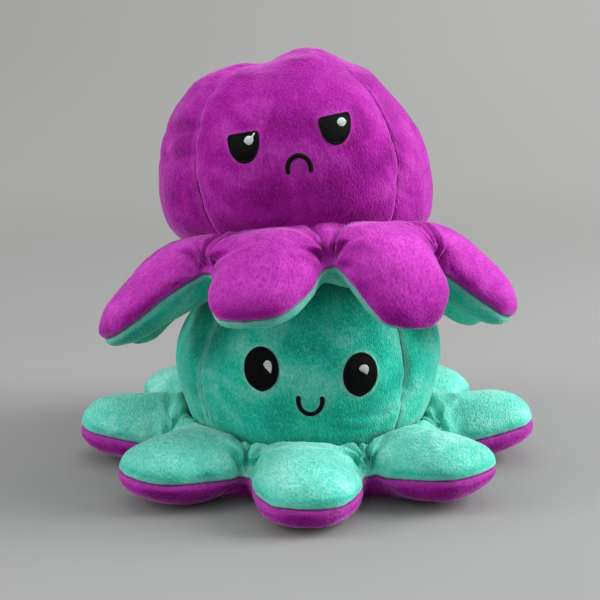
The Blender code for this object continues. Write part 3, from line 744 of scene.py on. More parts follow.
for toy, seed in (("lower", 3), ("upper", 11)):
    places, rest, faces, numbers, on_edge = finer(*skirt_mesh(toy, seed))
    normals = normals_of(places, faces)
    from_seam = seam_distances(places, on_edge)
    places = fan_folds(toy, places, normals, rest, from_seam, np.random.default_rng(seed))
    places = lumps(arched(toy, places, rest), normals, SKIRT_LUMPS, seed)
    places[on_edge] -= normals[on_edge] * SKIRT_SEAM_DEPTH
    if toy == "lower":
        places[:, 2] = np.maximum(places[:, 2], 0.05 * MM)
    from_seam = seam_distances(places, on_edge)
    for half, cloth, base in (("top", OUTSIDE[toy], 0), ("under", INSIDE[toy], UNDER_NUMBER)):
        sheet_normals = normals_of(places, faces[(numbers < UNDER_NUMBER) == (half == "top")])
        for number in range(LEG_COUNT + 1):
            node = f"{toy}_leg_{number}_{half}" if number else f"{toy}_skirt_{half}"
            piece = add_cloth(f"{node}_cloth", toy, places, faces[numbers == base + number], sheet_normals,
                              rest, from_seam, cloth, TOP_LIGHT_SHARE[toy])
            if number:
                azimuth = LEGS[toy][number - 1].azimuth
                end = PLACE[toy] @ outward(azimuth, LEG_TURN_END, HINGE_HEIGHT[toy])
                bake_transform(piece)
            else:
                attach(piece, f"{toy}_body")
            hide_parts(node)

# Heads: four gores of plush sewn from the crease to the crown and stuffed. The seams draw the cloth in,
# so that the panels swell between them; the simulation makes the puckers beside each seam.
# The head's half width and rise over the crease, where it is widest, and the powers of its three curves.
HEAD_RADIUS = {"lower": 57.6 * MM, "upper": 58.6 * MM}
HEAD_RISE = {"lower": 77.0 * MM, "upper": 73.6 * MM}
BELLY_RISE = 28.0 * MM
BELLY_POWER = {"lower": 1.0, "upper": 0.5}
PLAN_POWER = 2.2
DOME_POWER = {"lower": 1.8, "upper": 2.3}
BELLY_POINTS = 20
DOME_POINTS = 60
# The edge is tucked in below the crease, and the crown leans over to the right and to the front.
SEAM_TUCK = 1.2 * MM
LEAN = {"lower": (3.2 * MM, 10.0 * MM), "upper": (0.0, 0.0)}
PANELS = ("front", "right", "back", "left")
# The azimuths of the seams, from the one left of the front panel round to it again.
SEAMS = {"lower": (-53.0, 45.0, 135.0, 225.0, 307.0), "upper": (-45.0, 45.0, 135.0, 225.0, 315.0)}
HEAD_PRESSURE = 2.0
HEAD_GATHER = 0.05
HEAD_LUMPS = ((30.0 * MM, 1.4 * MM), (8.0 * MM, 0.2 * MM))
HEAD_SEAM_DEPTH = 0.8 * MM


def head_point(toy, azimuth, radius, rise):
    """A point of the head: the round outline made squarish and leant forward with height."""
    angle = math.radians(azimuth)
    corner = (abs(math.cos(angle)) ** PLAN_POWER + abs(math.sin(angle)) ** PLAN_POWER) ** (-1.0 / PLAN_POWER)
    square = 1.0 + (corner - 1.0) * min(max(rise / BELLY_RISE, 0.0), 1.0)
    slope = min(rise / HEAD_RISE[toy], 1.0)
    point = outward(azimuth, radius * square, CREASE_HEIGHT + rise)
    return point + Vector((LEAN[toy][0], -LEAN[toy][1], 0.0)) * slope * slope


def head_rows(toy):
    """The head's outline from its edge tucked in below the crease up to the crown, as radius and rise."""
    line = [(CREASE_RADIUS - SEAM_TUCK, -2.0 * SEAM_TUCK)]
    for i in range(BELLY_POINTS):
        share = i / BELLY_POINTS
        swell = math.sin(share * math.pi / 2.0) ** BELLY_POWER[toy]
        line.append((CREASE_RADIUS + (HEAD_RADIUS[toy] - CREASE_RADIUS) * swell, BELLY_RISE * share))
    power = 2.0 / DOME_POWER[toy]
    for i in range(DOME_POINTS + 1):
        angle = math.pi / 2.0 * i / DOME_POINTS
        radius = HEAD_RADIUS[toy] * max(math.cos(angle), 0.0) ** power
        line.append((radius, BELLY_RISE + (HEAD_RISE[toy] - BELLY_RISE) * math.sin(angle) ** power))
    return spaced(line, CLOTH_STEP)


def head_mesh(toy):
    """The head in the toy's frame: places, triangles, their panel numbers, and what lies on the seams."""
    rows, places, faces, numbers, known = head_rows(toy), [], [], [], {}
    crown = head_point(toy, 0.0, 0.0, HEAD_RISE[toy])

    def index_of(row, share):
        if row == len(rows) - 1:
            key = "crown"
        else:
            key = (row, round(share * 1e5) % 400000)
        if key not in known:
            known[key] = len(places)
            radius, rise = rows[row]
            azimuth = float(np.interp(share, range(len(SEAMS[toy])), SEAMS[toy]))
            point = crown if key == "crown" else head_point(toy, azimuth, radius, rise)
            places.append(tuple(point))
        return known[key]

    counts = [max(1, round(radius * math.pi / 2.0 / CLOTH_STEP)) for radius, _ in rows]
    for panel in range(4):
        for row in range(len(rows) - 1):
            below, above = counts[row], counts[row + 1]
            last = row == len(rows) - 2
            i, j = 0, 0
            while i < below or (j < above and not last):
                a, b = index_of(row, panel + i / below), index_of(row + 1, panel + j / above)
                if last or (i < below and (j >= above or (i + 1) / below <= (j + 1) / above)):
                    i += 1
                    faces.append((a, index_of(row, panel + i / below), b))
                else:
                    j += 1
                    faces.append((a, index_of(row + 1, panel + j / above), b))
                numbers.append(panel)
    seams = {known[key] for key in known if key != "crown" and key[1] % 100000 == 0}
    on_seam = np.zeros(len(places), bool)
    on_seam[list(seams) + [known["crown"]]] = True
    rim = [index for key, index in known.items() if key != "crown" and key[0] == 0]
    return np.array(places), np.array(faces), np.array(numbers), on_seam, rim


# Lumps, dents and wrinkles of the stuffing that the photograph shows, in millimetres: where across and up the
# face, how wide, how tall and how high, and how far to the back each reaches.
HEAD_MIDDLE = (0.0, 0.0, 52.0 * MM)
DENTS = {
    "lower": [(-44, 60, 9, 9, -1.6, 0), (23, 35.5, 10, 1.7, -1.1, 0), (21, 30.5, 9, 1.6, -0.9, 0),
              (40, 34, 5, 5, 1.0, 0), (-40, 74, 3, 9, -1.2, 0)],
    "upper": [(8, 97, 10, 10, 3.0, 20), (-12, 95, 8, 8, -2.6, 20), (-38, 86, 12, 12, 2.4, 60),
              (52, 76, 22, 22, -9.0, 60), (61, 46, 15, 15, -2.4, 60), (26, 96, 10, 10, -2.6, 60),
              (-58, 36, 18, 18, 3.6, 60), (-46, 67, 7, 2.4, -2.6, 0), (-49, 56, 7, 2.0, -2.0, 0),
              (-44, 72, 5, 3, 1.2, 0), (44, 46, 8, 8, 1.2, 0)],
}


def dented(toy, places):
    """The head with its dents, each a soft round push from or towards the head's middle."""
    shift = np.zeros(len(places))
    for across, height, wide, tall, depth, back in DENTS[toy]:
        away = np.hypot((places[:, 0] / MM - across) / wide, (places[:, 2] / MM - height) / tall)
        reach = 1.0 - smooth_share(places[:, 1], (back - 10.0) * MM, (back + 20.0) * MM)
        shift += depth * MM * np.exp(-away ** 2) * reach
    spokes = places - np.array(HEAD_MIDDLE)
    return places + spokes / np.linalg.norm(spokes, axis=1, keepdims=True) * shift[:, None]


HEAD_TREES = {}
for toy, seed in (("lower", 21), ("upper", 34)):
    flat_head, faces, numbers, on_seam, rim = head_mesh(toy)
    places = stuffed(
        f"{toy}_head_cloth", flat_head, faces, rim, np.where(on_seam, HEAD_GATHER, 0.0), HEAD_PRESSURE
    )
    places, rest, faces, numbers, on_seam = finer(places, flat_head, faces, numbers, on_seam)
    normals = normals_of(places, faces)
    places = lumps(arched(toy, dented(toy, places)), normals, HEAD_LUMPS, seed)
    places[on_seam] -= normals[on_seam] * HEAD_SEAM_DEPTH
    from_seam = seam_distances(places, on_seam)
    HEAD_TREES[toy] = BVHTree.FromPolygons([Vector(p) for p in places], faces.tolist())
    for index, side in enumerate(PANELS):
        chosen = faces[numbers == index]
        piece = add_cloth(f"{toy}_head_{side}_cloth", toy, places, chosen, normals_of(places, chosen), rest,
                          from_seam, OUTSIDE[toy])
        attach(piece, f"{toy}_body")
        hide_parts(f"{toy}_head_{side}_panel")
        if side == "front":
            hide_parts(f"{toy}_head_fill")

# Pockets: each toy's second cap, of the inside colour, pushed up inside the head and sewn to the skirt's
# under cloth round the mouth. It is seen from below when the upper toy is lifted.
POCKET_RADIUS = 46.5 * MM
POCKET_START = 14.2 * MM
POCKET_TOP = 62.0 * MM
POCKET_POWER = 2.4
POCKET_POINTS = 40
POCKET_LUMPS = ((14.0 * MM, 1.1 * MM),)
# Its flat places lie this much higher than the other cloths' in the nap's pattern.
POCKET_PLACE = 200.0 * MM


def pocket_rows(toy):
    """The pocket's section from the mouth to its crown, as radius and height."""
    line = [(MOUTH_RADIUS, MOUTH_HEIGHT[toy]), (POCKET_RADIUS, POCKET_START)]
    power = 2.0 / POCKET_POWER
    for i in range(POCKET_POINTS + 1):
        angle = math.pi / 2.0 * i / POCKET_POINTS
        radius = POCKET_RADIUS * max(math.cos(angle), 0.0) ** power
        line.append((radius, POCKET_START + (POCKET_TOP - POCKET_START) * math.sin(angle) ** power))
    return spaced(line, CLOTH_STEP)


for toy, seed in (("lower", 51), ("upper", 67)):
    rows = pocket_rows(toy)[:-1]
    steps = round(2.0 * math.pi * POCKET_RADIUS / CLOTH_STEP)
    turns = np.arange(steps) * 2.0 * math.pi / steps
    rings = [np.column_stack([r * np.sin(turns), -r * np.cos(turns), np.full(steps, z)]) for r, z in rows]
    places = np.vstack([*rings, [(0.0, 0.0, POCKET_TOP)]])
    corner = np.arange(steps)
    after = (corner + 1) % steps
    last = (len(rows) - 1) * steps
    faces = []
    for low in range(0, last, steps):
        high = low + steps
        faces.append(np.stack([low + corner, high + corner, high + after], 1))
        faces.append(np.stack([low + corner, high + after, low + after], 1))
    faces.append(np.stack([last + corner, np.full(steps, len(places) - 1), last + after], 1))
    faces = np.vstack(faces)
    rest = places + np.array([0.0, 0.0, POCKET_PLACE])
    places = lumps(places, normals_of(places, faces), POCKET_LUMPS, seed)
    far_from_seam = np.full(len(places), POCKET_RADIUS)
    piece = add_cloth(f"{toy}_pocket_cloth", toy, places, faces, normals_of(places, faces), rest, far_from_seam,
                      INSIDE[toy])
    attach(piece, f"{toy}_body")
    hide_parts(f"{toy}_pocket_liner")

# Embroidery: eyes, highlights and mouths in satin stitch, standing on the front panel. Rows of thread fill
# each eye over a low pad, and a column of short stitches borders it; a mouth is such a column alone.
THREAD_RADIUS = 0.21 * MM
THREAD_PITCH = 0.36 * MM
THREAD_SIDES = 6
STITCH_RUN = 4.2 * MM
STITCH_DIP = 0.10 * MM
PAD_LIFT = 0.25 * MM
PAD_CROWN = 0.55 * MM
BORDER_HALF_WIDTH = 0.55 * MM
MOUTH_LINE_HALF_WIDTH = 0.85 * MM
# A column's stitches arch over the pad's edge, or over the bare cloth of a mouth.
BORDER_RISE = 0.35 * MM
BORDER_LIFT = 0.15 * MM
MOUTH_LINE_RISE = 0.7 * MM
MOUTH_END_RISE = 0.5 * MM
# A row of thread is drawn in short steps, strays a little, and ends under the border.
ROW_STEP = 0.7 * MM
ROW_STRAY = 0.03 * MM
ROW_END_DEPTH = 0.2 * MM
PAD_DEPTH = 0.6 * MM
HIGHLIGHT_CROWN = 0.3 * MM
HIGHLIGHT_LIFT = PAD_LIFT + PAD_CROWN + 0.1 * MM
# The ring in which the nap stands up round each mark.
NAP_RING_SHARE = 0.7
NAP_RING_WIDTH = 1.3 * MM
# Half sizes, and per eye its centre across and up from the crease, and how far its lid slopes.
EYE_SIZE = {"lower": (7.0 * MM, 8.9 * MM), "upper": (6.3 * MM, 9.3 * MM)}
EYES = {
    "lower": {"left": (-18.8 * MM, 34.6 * MM, None), "right": (21.2 * MM, 32.3 * MM, None)},
    "upper": {"left": (-20.7 * MM, 38.9 * MM, 3.8), "right": (15.9 * MM, 42.9 * MM, 7.2)},
}
EYE_POINTS = 72
EYE_STEP = 0.5 * MM
EYE_TIP = 0.5 * MM
EYE_TIP_HALF_WIDTH = 2.2 * MM
LID_SHARE = 0.28
# Per mouth its place across and up, its half width and depth, and 1 for a frown or -1 for a smile. Each end
# tapers off in short columns: how far past the end in millimetres, and their share of the width.
MOUTHS = {
    "lower": (1.0 * MM, 22.9 * MM, 4.9 * MM, 7.3 * MM, -1.0),
    "upper": (0.4 * MM, 24.6 * MM, 4.6 * MM, 6.2 * MM, 1.0),
}
MOUTH_TURN = 102.0
MOUTH_POINTS = 40
MOUTH_ENDS = ((0.3, 0.8), (0.65, 0.5))
# The pale highlights, in millimetres from each eye's centre: a drop on the lower toy, spots on the upper one.
HIGHLIGHT_STEP = 0.4 * MM
DROP_TURNS = [math.radians(turn) for turn in range(-140, 90, 25)]
DROP = [(2.8 + 2.0 * math.sin(turn), 2.1 + 2.05 * math.cos(turn)) for turn in DROP_TURNS]
DROP += [(4.75, 1.0), (4.65, -0.4), (4.3, -1.7), (3.6, -1.1), (2.6, -0.1)]
SPOT = [(2.4 + 1.75 * math.sin(math.pi * i / 8.0), -0.7 + 1.85 * math.cos(math.pi * i / 8.0)) for i in range(16)]
TAILED = SPOT[:1] + [(3.6, 0.9), (4.7, 2.1), (5.0, 1.8), (3.9, 0.4)] + SPOT[3:]
HIGHLIGHTS = {
    ("lower", "left"): [(x * 0.8 + 0.55, z * 0.94 + 0.1) for x, z in DROP],
    ("lower", "right"): [(x * 0.94 - 1.57, z * 0.745 + 1.23) for x, z in DROP],
    ("upper", "left"): TAILED,
    ("upper", "right"): SPOT,
}


def thread(name, colour, roughness):
    """Rayon thread: smooth and softly glossy, its sheen broken along its length."""
    material, tree, shader = new_material(name)
    where = add_node(tree, "ShaderNodeTexCoord").outputs["Object"]
    twist = add_node(tree, "ShaderNodeTexNoise", {"Vector": where, "Scale": 1.0 / (0.5 * MM)}).outputs["Fac"]
    dark = (*(channel * 0.55 for channel in colour[:3]), 1.0)
    gloss = {"Value": twist, "To Min": roughness - 0.08, "To Max": roughness + 0.12}
    set_inputs(tree, shader, {
        "Base Color": blend_of(tree, twist, dark, colour),
        "Roughness": add_node(tree, "ShaderNodeMapRange", gloss).outputs[0],
        "Specular IOR Level": 0.1,
    })
    material.diffuse_color = colour
    return material


BLACK_THREAD = thread("black_thread", (0.0016, 0.0014, 0.0014, 1.0), 0.6)
PALE_THREAD = thread("pale_thread", (0.72, 0.74, 0.76, 1.0), 0.42)


def stitch_tree(name, inputs):
    """A Geometry Nodes tree for stitches, which all share a thread and a material."""
    shared = [("Thread Radius", "Float"), ("Thread Sides", "Int"), ("Material", "Material")]
    geometry = [("Geometry", "Geometry")]
    return new_tree(name, "GeometryNodeTree", geometry + inputs + shared, geometry)


def threaded(tree, given, curve):
    """A capped length of thread along a curve."""
    circle = add_node(tree, "GeometryNodeCurvePrimitiveCircle", {
        "Radius": given["Thread Radius"],
        "Resolution": given["Thread Sides"],
    })
    return add_node(tree, "GeometryNodeCurveToMesh", {
        "Curve": curve,
        "Profile Curve": circle.outputs["Curve"],
        "Fill Caps": True,
    }).outputs["Mesh"]


def finished_by(tree, geometry, given, end):
    """The tree's last steps: smooth, realized, and in its material."""
    smooth = add_node(tree, "GeometryNodeSetShadeSmooth", {"Geometry": geometry}).outputs[0]
    real = add_node(tree, "GeometryNodeRealizeInstances", {"Geometry": smooth}).outputs[0]
    coloured = add_node(tree, "GeometryNodeSetMaterial", {"Geometry": real, "Material": given["Material"]})
    set_inputs(tree, end, {"Geometry": coloured.outputs[0]})
    return tree


def rows_tree():
    """Turns each row of a stitched fill, drawn as a line of edges, into thread."""
    tree, start, end = stitch_tree("stitched_rows", [])
    line = add_node(tree, "GeometryNodeMeshToCurve", {"Mesh": start.outputs["Geometry"]}).outputs["Curve"]
    return finished_by(tree, threaded(tree, start.outputs, line), start.outputs, end)


def column_tree():
    """Lays short arched stitches across a line, by the facing and the way across that its points carry."""
    inputs = [("Half Width", "Float"), ("Rise", "Float"), ("Pitch", "Float")]
    tree, start, end = stitch_tree("stitched_column", inputs)
    given = start.outputs
    line = add_node(tree, "GeometryNodeMeshToCurve", {"Mesh": given["Geometry"]}).outputs["Curve"]
    points = add_node(tree, "GeometryNodeCurveToPoints", {"Curve": line, "Length": given["Pitch"]}, mode="LENGTH")
    back, high = (
        add_node(tree, "ShaderNodeMath", {0: value, 1: times}, operation="MULTIPLY").outputs[0]
        for value, times in ((given["Half Width"], -1.0), (given["Rise"], 2.0))
    )
    arch = {"Resolution": 6}
    for label, place in (("Start", {"X": back}), ("Middle", {"Z": high}), ("End", {"X": given["Half Width"]})):
        arch[label] = add_node(tree, "ShaderNodeCombineXYZ", place).outputs[0]
    curve = add_node(tree, "GeometryNodeCurveQuadraticBezier", arch).outputs["Curve"]
    turn = {}
    for label, settings in (("facing", {"axis": "Z"}), ("across", {"axis": "X", "pivot_axis": "Z"})):
        named = add_node(tree, "GeometryNodeInputNamedAttribute", {"Name": label}, data_type="FLOAT_VECTOR")
        turn["Vector"] = named.outputs["Attribute"]
        turn["Rotation"] = add_node(tree, "FunctionNodeAlignRotationToVector", turn, **settings).outputs["Rotation"]
    laid = add_node(tree, "GeometryNodeInstanceOnPoints", {
        "Points": points.outputs["Points"],
        "Instance": threaded(tree, given, curve),
        "Rotation": turn["Rotation"],
    })
    return finished_by(tree, laid.outputs["Instances"], given, end)


ROWS = rows_tree()
COLUMN = column_tree()


def grown(mesh, tree, values):
    """A mesh put through a Geometry Nodes tree, as a new plain mesh."""
    carrier = placed("carrier", mesh)
    modifier = carrier.modifiers.new("stitches", "NODES")
    modifier.node_group = tree
    for item in tree.interface.items_tree:
        if item.in_out == "INPUT" and item.name in values:
            modifier[item.identifier] = values[item.name]
    evaluated = carrier.evaluated_get(bpy.context.evaluated_depsgraph_get())
    plain = bpy.data.meshes.new_from_object(evaluated)
    carrier.modifiers.remove(modifier)
    bpy.data.objects.remove(carrier, do_unlink=True)
    return plain


def draped(toy, across, rise):
    """The point of the head's cloth straight behind a point of the face, and the way the cloth faces there."""
    start = Vector((across, -0.3, CREASE_HEIGHT + rise))
    place, normal, _, _ = HEAD_TREES[toy].ray_cast(start, Vector((0.0, 1.0, 0.0)))
    return place, normal


def inside_rows(outline, pitch):
    """Upright rows that fill an outline: each is its place across and its lowest and highest point."""
    outline = np.array(outline)
    rows = []
    low, high = outline[:, 0].min(), outline[:, 0].max()
    count = max(2, round((high - low) / pitch))
    for i in range(count):
        x = low + (high - low) * (i + 0.5) / count
        hits = []
        for a, b in zip(outline, np.roll(outline, -1, axis=0)):
            if (a[0] - x) * (b[0] - x) < 0.0:
                hits.append(a[1] + (b[1] - a[1]) * (x - a[0]) / (b[0] - a[0]))
        if len(hits) >= 2:
            rows.append((x, min(hits), max(hits)))
    return rows


def pad_mesh(toy, name, outline, crown, lift):
    """The padding under a filled shape: a low closed cushion that follows the cloth."""
    middle = np.array(outline).mean(axis=0)
    levels = [
        (1.0, -PAD_DEPTH),
        (1.0, lift * 0.4),
        (0.93, lift + crown * 0.35),
        (0.75, lift + crown * 0.75),
        (0.45, lift + crown),
    ]
    places = []
    for share, height in levels:
        for x, z in outline:
            place, normal = draped(toy, middle[0] + (x - middle[0]) * share, middle[1] + (z - middle[1]) * share)
            places.append(place + normal * height)
    place, normal = draped(toy, *middle)
    places += [place + normal * (lift + crown), place - normal * PAD_DEPTH]
    count, last = len(outline), (len(levels) - 1) * len(outline)
    top, bottom = len(places) - 2, len(places) - 1
    faces = []
    for i in range(count):
        j = (i + 1) % count
        faces += [(low + i, low + j, low + count + j, low + count + i) for low in range(0, last, count)]
        faces += [(last + i, last + j, top), (j, i, bottom)]
    mesh = bpy.data.meshes.new(name)
    mesh.from_pydata(places, [], faces)
    mesh.shade_smooth()
    return mesh


def row_lines(toy, outline, crown, lift, rng):
    """Rows of thread over a pad, each dipping where a stitch goes through the cloth."""
    outline = np.array(outline)
    middle = outline.mean(axis=0)
    places, edges = [], []
    for x, low, high in inside_rows(outline, THREAD_PITCH):
        steps = max(4, round((high - low) / ROW_STEP))
        phase = rng.uniform(0.0, 1.0)
        for i in range(steps + 1):
            z = low + (high - low) * i / steps
            reach = max(abs(x - middle[0]) / np.ptp(outline[:, 0]), abs(z - middle[1]) / np.ptp(outline[:, 1])) * 2.0
            dip = abs(math.sin(math.pi * (z / STITCH_RUN + phase))) * STITCH_DIP
            place, normal = draped(toy, x + rng.uniform(-ROW_STRAY, ROW_STRAY), z)
            height = lift + crown * max(0.0, 1.0 - reach ** 3) + dip
            if i in (0, steps):
                height = -ROW_END_DEPTH
            places.append(place + normal * height)
            if i:
                edges.append((len(places) - 2, len(places) - 1))
    mesh = bpy.data.meshes.new("rows")
    mesh.from_pydata(places, edges, [])
    return mesh


def column_line(toy, line, lift, closed):
    """The line that a column of stitches follows, with the cloth's facing and the way across at each point."""
    line = [Vector(p) for p in line]
    places, facings, acrosses = [], [], []
    for i, point in enumerate(line):
        before = line[i - 1] if closed or i else point
        after = line[(i + 1) % len(line)] if closed or i < len(line) - 1 else point
        here, normal = draped(toy, *point)
        ahead, behind = draped(toy, *after)[0], draped(toy, *before)[0]
        places.append(here + normal * lift)
        facings.append(normal)
        acrosses.append(normal.cross((ahead - behind).normalized()))
    edges = [(i, i + 1) for i in range(len(places) - 1)] + ([(len(places) - 1, 0)] if closed else [])
    mesh = bpy.data.meshes.new("column")
    mesh.from_pydata(places, edges, [])
    for label, vectors in (("facing", facings), ("across", acrosses)):
        attribute = mesh.attributes.new(label, "FLOAT_VECTOR", "POINT")
        attribute.data.foreach_set("vector", [c for v in vectors for c in v])
    return mesh


def embroider(toy, name, parts, material, node):
    """Joins the pads and threads of one embroidered mark and puts it on the toy's body."""
    whole = bmesh.new()
    for part in parts:
        whole.from_mesh(part)
        bpy.data.meshes.remove(part)
    bmesh.ops.transform(whole, matrix=PLACE[toy], verts=whole.verts)
    bmesh.ops.recalc_face_normals(whole, faces=whole.faces)
    mesh = bpy.data.meshes.new(name)
    whole.to_mesh(mesh)
    whole.free()
    mesh.shade_smooth()
    mesh.materials.clear()
    mesh.materials.append(material)
    piece = placed(name, mesh)
    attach(piece, f"{toy}_body")
    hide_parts(node)


def column_of(toy, line, half_width, rise, lift, closed, material):
    """A column of stitches across a line."""
    values = {
        "Half Width": half_width,
        "Rise": rise,
        "Pitch": THREAD_PITCH,
        "Thread Radius": THREAD_RADIUS,
        "Thread Sides": THREAD_SIDES,
        "Material": material,
    }
    return grown(column_line(toy, line, lift, closed), COLUMN, values)


def filled(toy, outline, crown, lift, material, rng):
    """A pad and the rows of thread over it."""
    values = {"Thread Radius": THREAD_RADIUS, "Thread Sides": THREAD_SIDES, "Material": material}
    return [
        pad_mesh(toy, "pad", outline, crown, lift),
        grown(row_lines(toy, outline, crown, lift, rng), ROWS, values),
    ]


def closed_outline(points, step):
    """A closed outline with its points evenly spaced."""
    return [tuple(p) for p in spaced(points + points[:1], step)[:-1]]


def eye_outline(toy, side, inset):
    """An eye's outline in the plane of the face: an oval, drawn to a point below, or cut off straight by its lid."""
    across, rise, lid_slope = EYES[toy][side]
    half_width, half_height = (size - inset for size in EYE_SIZE[toy])
    points = []
    for i in range(EYE_POINTS):
        angle = 2.0 * math.pi * i / EYE_POINTS
        x, z = half_width * math.sin(angle), half_height * math.cos(angle)
        if lid_slope is None:
            z -= EYE_TIP * max(0.0, 1.0 - abs(x) / EYE_TIP_HALF_WIDTH) * (z < 0.0)
        else:
            lid = half_height * LID_SHARE + math.tan(math.radians(lid_slope)) * x - inset * 0.5
            z = min(z, lid)
        points.append((across + x, rise + z))
    return closed_outline(points, EYE_STEP)


def ring_nap(toy, outlines):
    """The stitches press the pile aside, so it stands up pale in a narrow ring round each mark."""
    tree = search_tree([PLACE[toy] @ draped(toy, *point)[0] for outline in outlines for point in outline])
    mesh = bpy.data.objects[f"{toy}_head_front_cloth"].data
    top_light_and_ring = mesh.attributes[PAINTED_TOP_LIGHT_AND_NAP_RING].data
    for vertex, nap in zip(mesh.vertices, top_light_and_ring):
        away = tree.find(vertex.co)[2]
        nap.value += NAP_RING_SHARE * math.exp(-(away / NAP_RING_WIDTH) ** 2)


for toy in TOYS:
    rng = np.random.default_rng(7)
    for side, (across, rise, _) in EYES[toy].items():
        border = eye_outline(toy, side, BORDER_HALF_WIDTH)
        inner = eye_outline(toy, side, BORDER_HALF_WIDTH * 1.4)
        parts = filled(toy, inner, PAD_CROWN, PAD_LIFT, BLACK_THREAD, rng)
        parts.append(column_of(toy, border, BORDER_HALF_WIDTH, BORDER_RISE, BORDER_LIFT, True, BLACK_THREAD))
        embroider(toy, f"{toy}_eye_{side}_satin", parts, BLACK_THREAD, f"{toy}_eye_{side}")
        mark = [(across + x * MM, rise + z * MM) for x, z in HIGHLIGHTS[toy, side]]
        mark = closed_outline(mark, HIGHLIGHT_STEP)
        parts = filled(toy, mark, HIGHLIGHT_CROWN, HIGHLIGHT_LIFT, PALE_THREAD, rng)
        node = f"{toy}_eye_highlight_{side}"
        embroider(toy, f"{node}_satin", parts, PALE_THREAD, node)
    across, rise, half_width, depth, turn = MOUTHS[toy]
    line, least = [], math.cos(math.radians(MOUTH_TURN))
    for i in range(MOUTH_POINTS + 1):
        angle = math.radians(MOUTH_TURN) * (i * 2.0 / MOUTH_POINTS - 1.0)
        bow = turn * depth * (math.cos(angle) - least) / (1.0 - least)
        line.append((across + half_width * math.sin(angle), rise + bow))
    parts = [column_of(toy, line, MOUTH_LINE_HALF_WIDTH, MOUTH_LINE_RISE, 0.0, False, BLACK_THREAD)]
    for end, before in ((line[0], line[1]), (line[-1], line[-2])):
        end, onward = Vector(end), (Vector(end) - Vector(before)).normalized()
        for past, share in MOUTH_ENDS:
            tip = [end + onward * past * MM, end + onward * (past + 0.1) * MM]
            narrow = MOUTH_LINE_HALF_WIDTH * share
            parts.append(column_of(toy, tip, narrow, MOUTH_END_RISE, 0.0, False, BLACK_THREAD))
    embroider(toy, f"{toy}_mouth_satin", parts, BLACK_THREAD, f"{toy}_mouth")
    ring_nap(toy, [eye_outline(toy, side, 0.0) for side in EYES[toy]] + [line])

# The table: a plain pale sweep under soft studio light, and the camera of the photograph.
CARD = (0.236, 0.240, 0.236, 1.0)
BACKDROP = (0.42, 0.42, 0.41, 1.0)
ROOM = (0.62, 0.62, 0.62, 1.0)
ROOM_STRENGTH = 0.44
# The backdrop that the camera sees, a glowing grey with painted light that grows towards the right: its colour at
# its left and right ends, how far out those are, and where it takes over.
BACKDROP_LEFT = (0.36, 0.36, 0.35, 1.0)
BACKDROP_RIGHT = (0.49, 0.49, 0.48, 1.0)
BACKDROP_END = 0.5
BACKDROP_NEAR = 0.25
BACKDROP_FAR = 0.75
SWEEP_HALF_WIDTH, SWEEP_FRONT, SWEEP_BACK, SWEEP_CURVE, SWEEP_HEIGHT = 4.0, 4.0, 1.6, 0.6, 2.4
SWEEP_CURVE_STEPS = 16
# The camera, from a fit to the photograph: its distance and degrees above level, its aim, and its lens in pixels.
CAMERA_DISTANCE = 739.0 * MM
CAMERA_RISE = 14.07
CAMERA_AIM = Vector((-3.2 * MM, 0.0, 71.0 * MM))
FRAME_PIXELS = 600.0
FOCAL_PIXELS = 1702.5
SENSOR_WIDTH = 36.0


def seen_by_camera(tree, share, plain, seen, output):
    """Shows the camera one shader, by a share, and everything else the plain one."""
    ray = add_node(tree, "ShaderNodeLightPath").outputs["Is Camera Ray"]
    share = add_node(tree, "ShaderNodeMath", {0: ray, 1: share}, operation="MULTIPLY").outputs[0]
    mixed = add_node(tree, "ShaderNodeMixShader", {0: share, 1: plain.outputs[0], 2: seen.outputs[0]})
    set_inputs(tree, tree.nodes[output], {"Surface": mixed.outputs[0]})


def sweep_material():
    """Matt card that takes the toys' shadow; further off, the camera sees a glowing grey with painted light, lighter
    from left to right.
    """
    material, tree, card = new_material("sweep")
    set_inputs(tree, card, {"Base Color": CARD, "Roughness": 0.9})
    where = add_node(tree, "ShaderNodeTexCoord").outputs["Object"]
    across = add_node(tree, "ShaderNodeSeparateXYZ", {0: where}).outputs["X"]
    away = add_node(tree, "ShaderNodeVectorMath", {0: where}, operation="LENGTH").outputs["Value"]
    aside, far = (
        add_node(tree, "ShaderNodeMapRange", {"Value": value, "From Min": low, "From Max": high},
                 interpolation_type=kind).outputs[0]
        for value, low, high, kind in (
            (across, -BACKDROP_END, BACKDROP_END, "LINEAR"),
            (away, BACKDROP_NEAR, BACKDROP_FAR, "SMOOTHSTEP"),
        )
    )
    # Painted light: the glowing backdrop grows lighter from left to right.
    grey = blend_of(tree, aside, BACKDROP_LEFT, BACKDROP_RIGHT)
    seen_by_camera(tree, far, card, add_node(tree, "ShaderNodeEmission", {"Color": grey}), "Material Output")
    return material


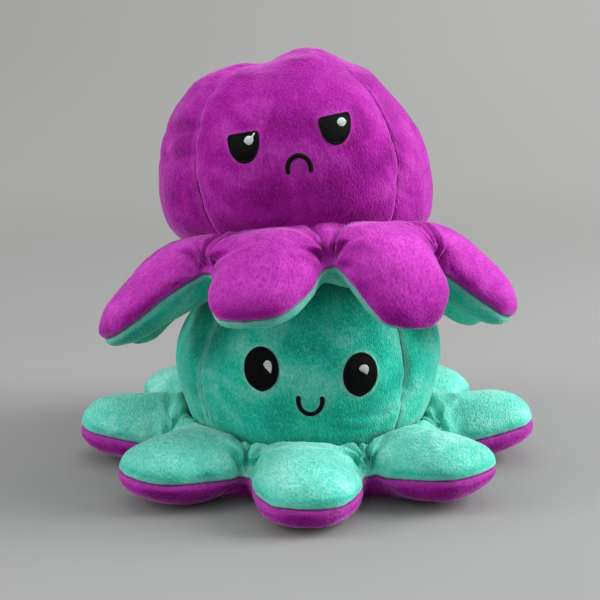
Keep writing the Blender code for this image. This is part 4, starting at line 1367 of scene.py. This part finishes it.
def add_sweep():
    """The card: flat under the toys and curved up behind them."""
    line = [(-SWEEP_FRONT, 0.0)]
    for i in range(SWEEP_CURVE_STEPS + 1):
        angle = math.pi / 2.0 * i / SWEEP_CURVE_STEPS
        line.append((SWEEP_BACK + SWEEP_CURVE * math.sin(angle), SWEEP_CURVE * (1.0 - math.cos(angle))))
    line.append((SWEEP_BACK + SWEEP_CURVE, SWEEP_HEIGHT))
    places = [(x, y, z) for x in (-SWEEP_HALF_WIDTH, SWEEP_HALF_WIDTH) for y, z in line]
    count = len(line)
    faces = [(i, i + count, i + count + 1, i + 1) for i in range(count - 1)]
    mesh = bpy.data.meshes.new("sweep")
    mesh.from_pydata(places, [], faces)
    mesh.shade_smooth()
    mesh.materials.append(sweep_material())
    placed("sweep", mesh)


def add_light(name, place, aim_height, size, power):
    """A soft light that faces the toys at a height."""
    data = bpy.data.lights.new(name, "AREA")
    data.shape = "RECTANGLE"
    data.size, data.size_y = size
    data.energy = power
    light = placed(name, data)
    light.location = place
    light.rotation_euler = (Vector((0.0, 0.0, aim_height)) - Vector(place)).to_track_quat("-Z", "Y").to_euler()


add_sweep()
add_light("overhead_softbox", (0.0, 0.1, 1.2), 0.08, (1.4, 1.2), 8.7)
add_light("left_softbox", (-1.1, -0.3, 0.6), 0.08, (0.7, 1.0), 12.0)
add_light("right_softbox", (1.1, 0.0, 0.6), 0.08, (0.7, 1.0), 29.0)
add_light("front_softbox", (-0.3, -1.3, 0.7), 0.06, (1.2, 1.0), 2.4)

world = bpy.data.worlds.new("studio")
world.use_nodes = True
room = world.node_tree.nodes["Background"]
set_inputs(world.node_tree, room, {"Color": ROOM, "Strength": ROOM_STRENGTH})
seen_room = add_node(world.node_tree, "ShaderNodeBackground", {"Color": BACKDROP})
seen_by_camera(world.node_tree, 1.0, room, seen_room, "World Output")
bpy.context.scene.world = world
bpy.context.scene.view_settings.view_transform = "Standard"

data = bpy.data.cameras.new("camera")
data.sensor_width = SENSOR_WIDTH
data.lens = SENSOR_WIDTH * FOCAL_PIXELS / FRAME_PIXELS
camera = placed("camera", data)
rise = math.radians(CAMERA_RISE)
camera.location = CAMERA_AIM + Vector((0.0, -math.cos(rise), math.sin(rise))) * CAMERA_DISTANCE
camera.rotation_euler = (CAMERA_AIM - camera.location).to_track_quat("-Z", "Y").to_euler()
bpy.context.scene.camera = camera
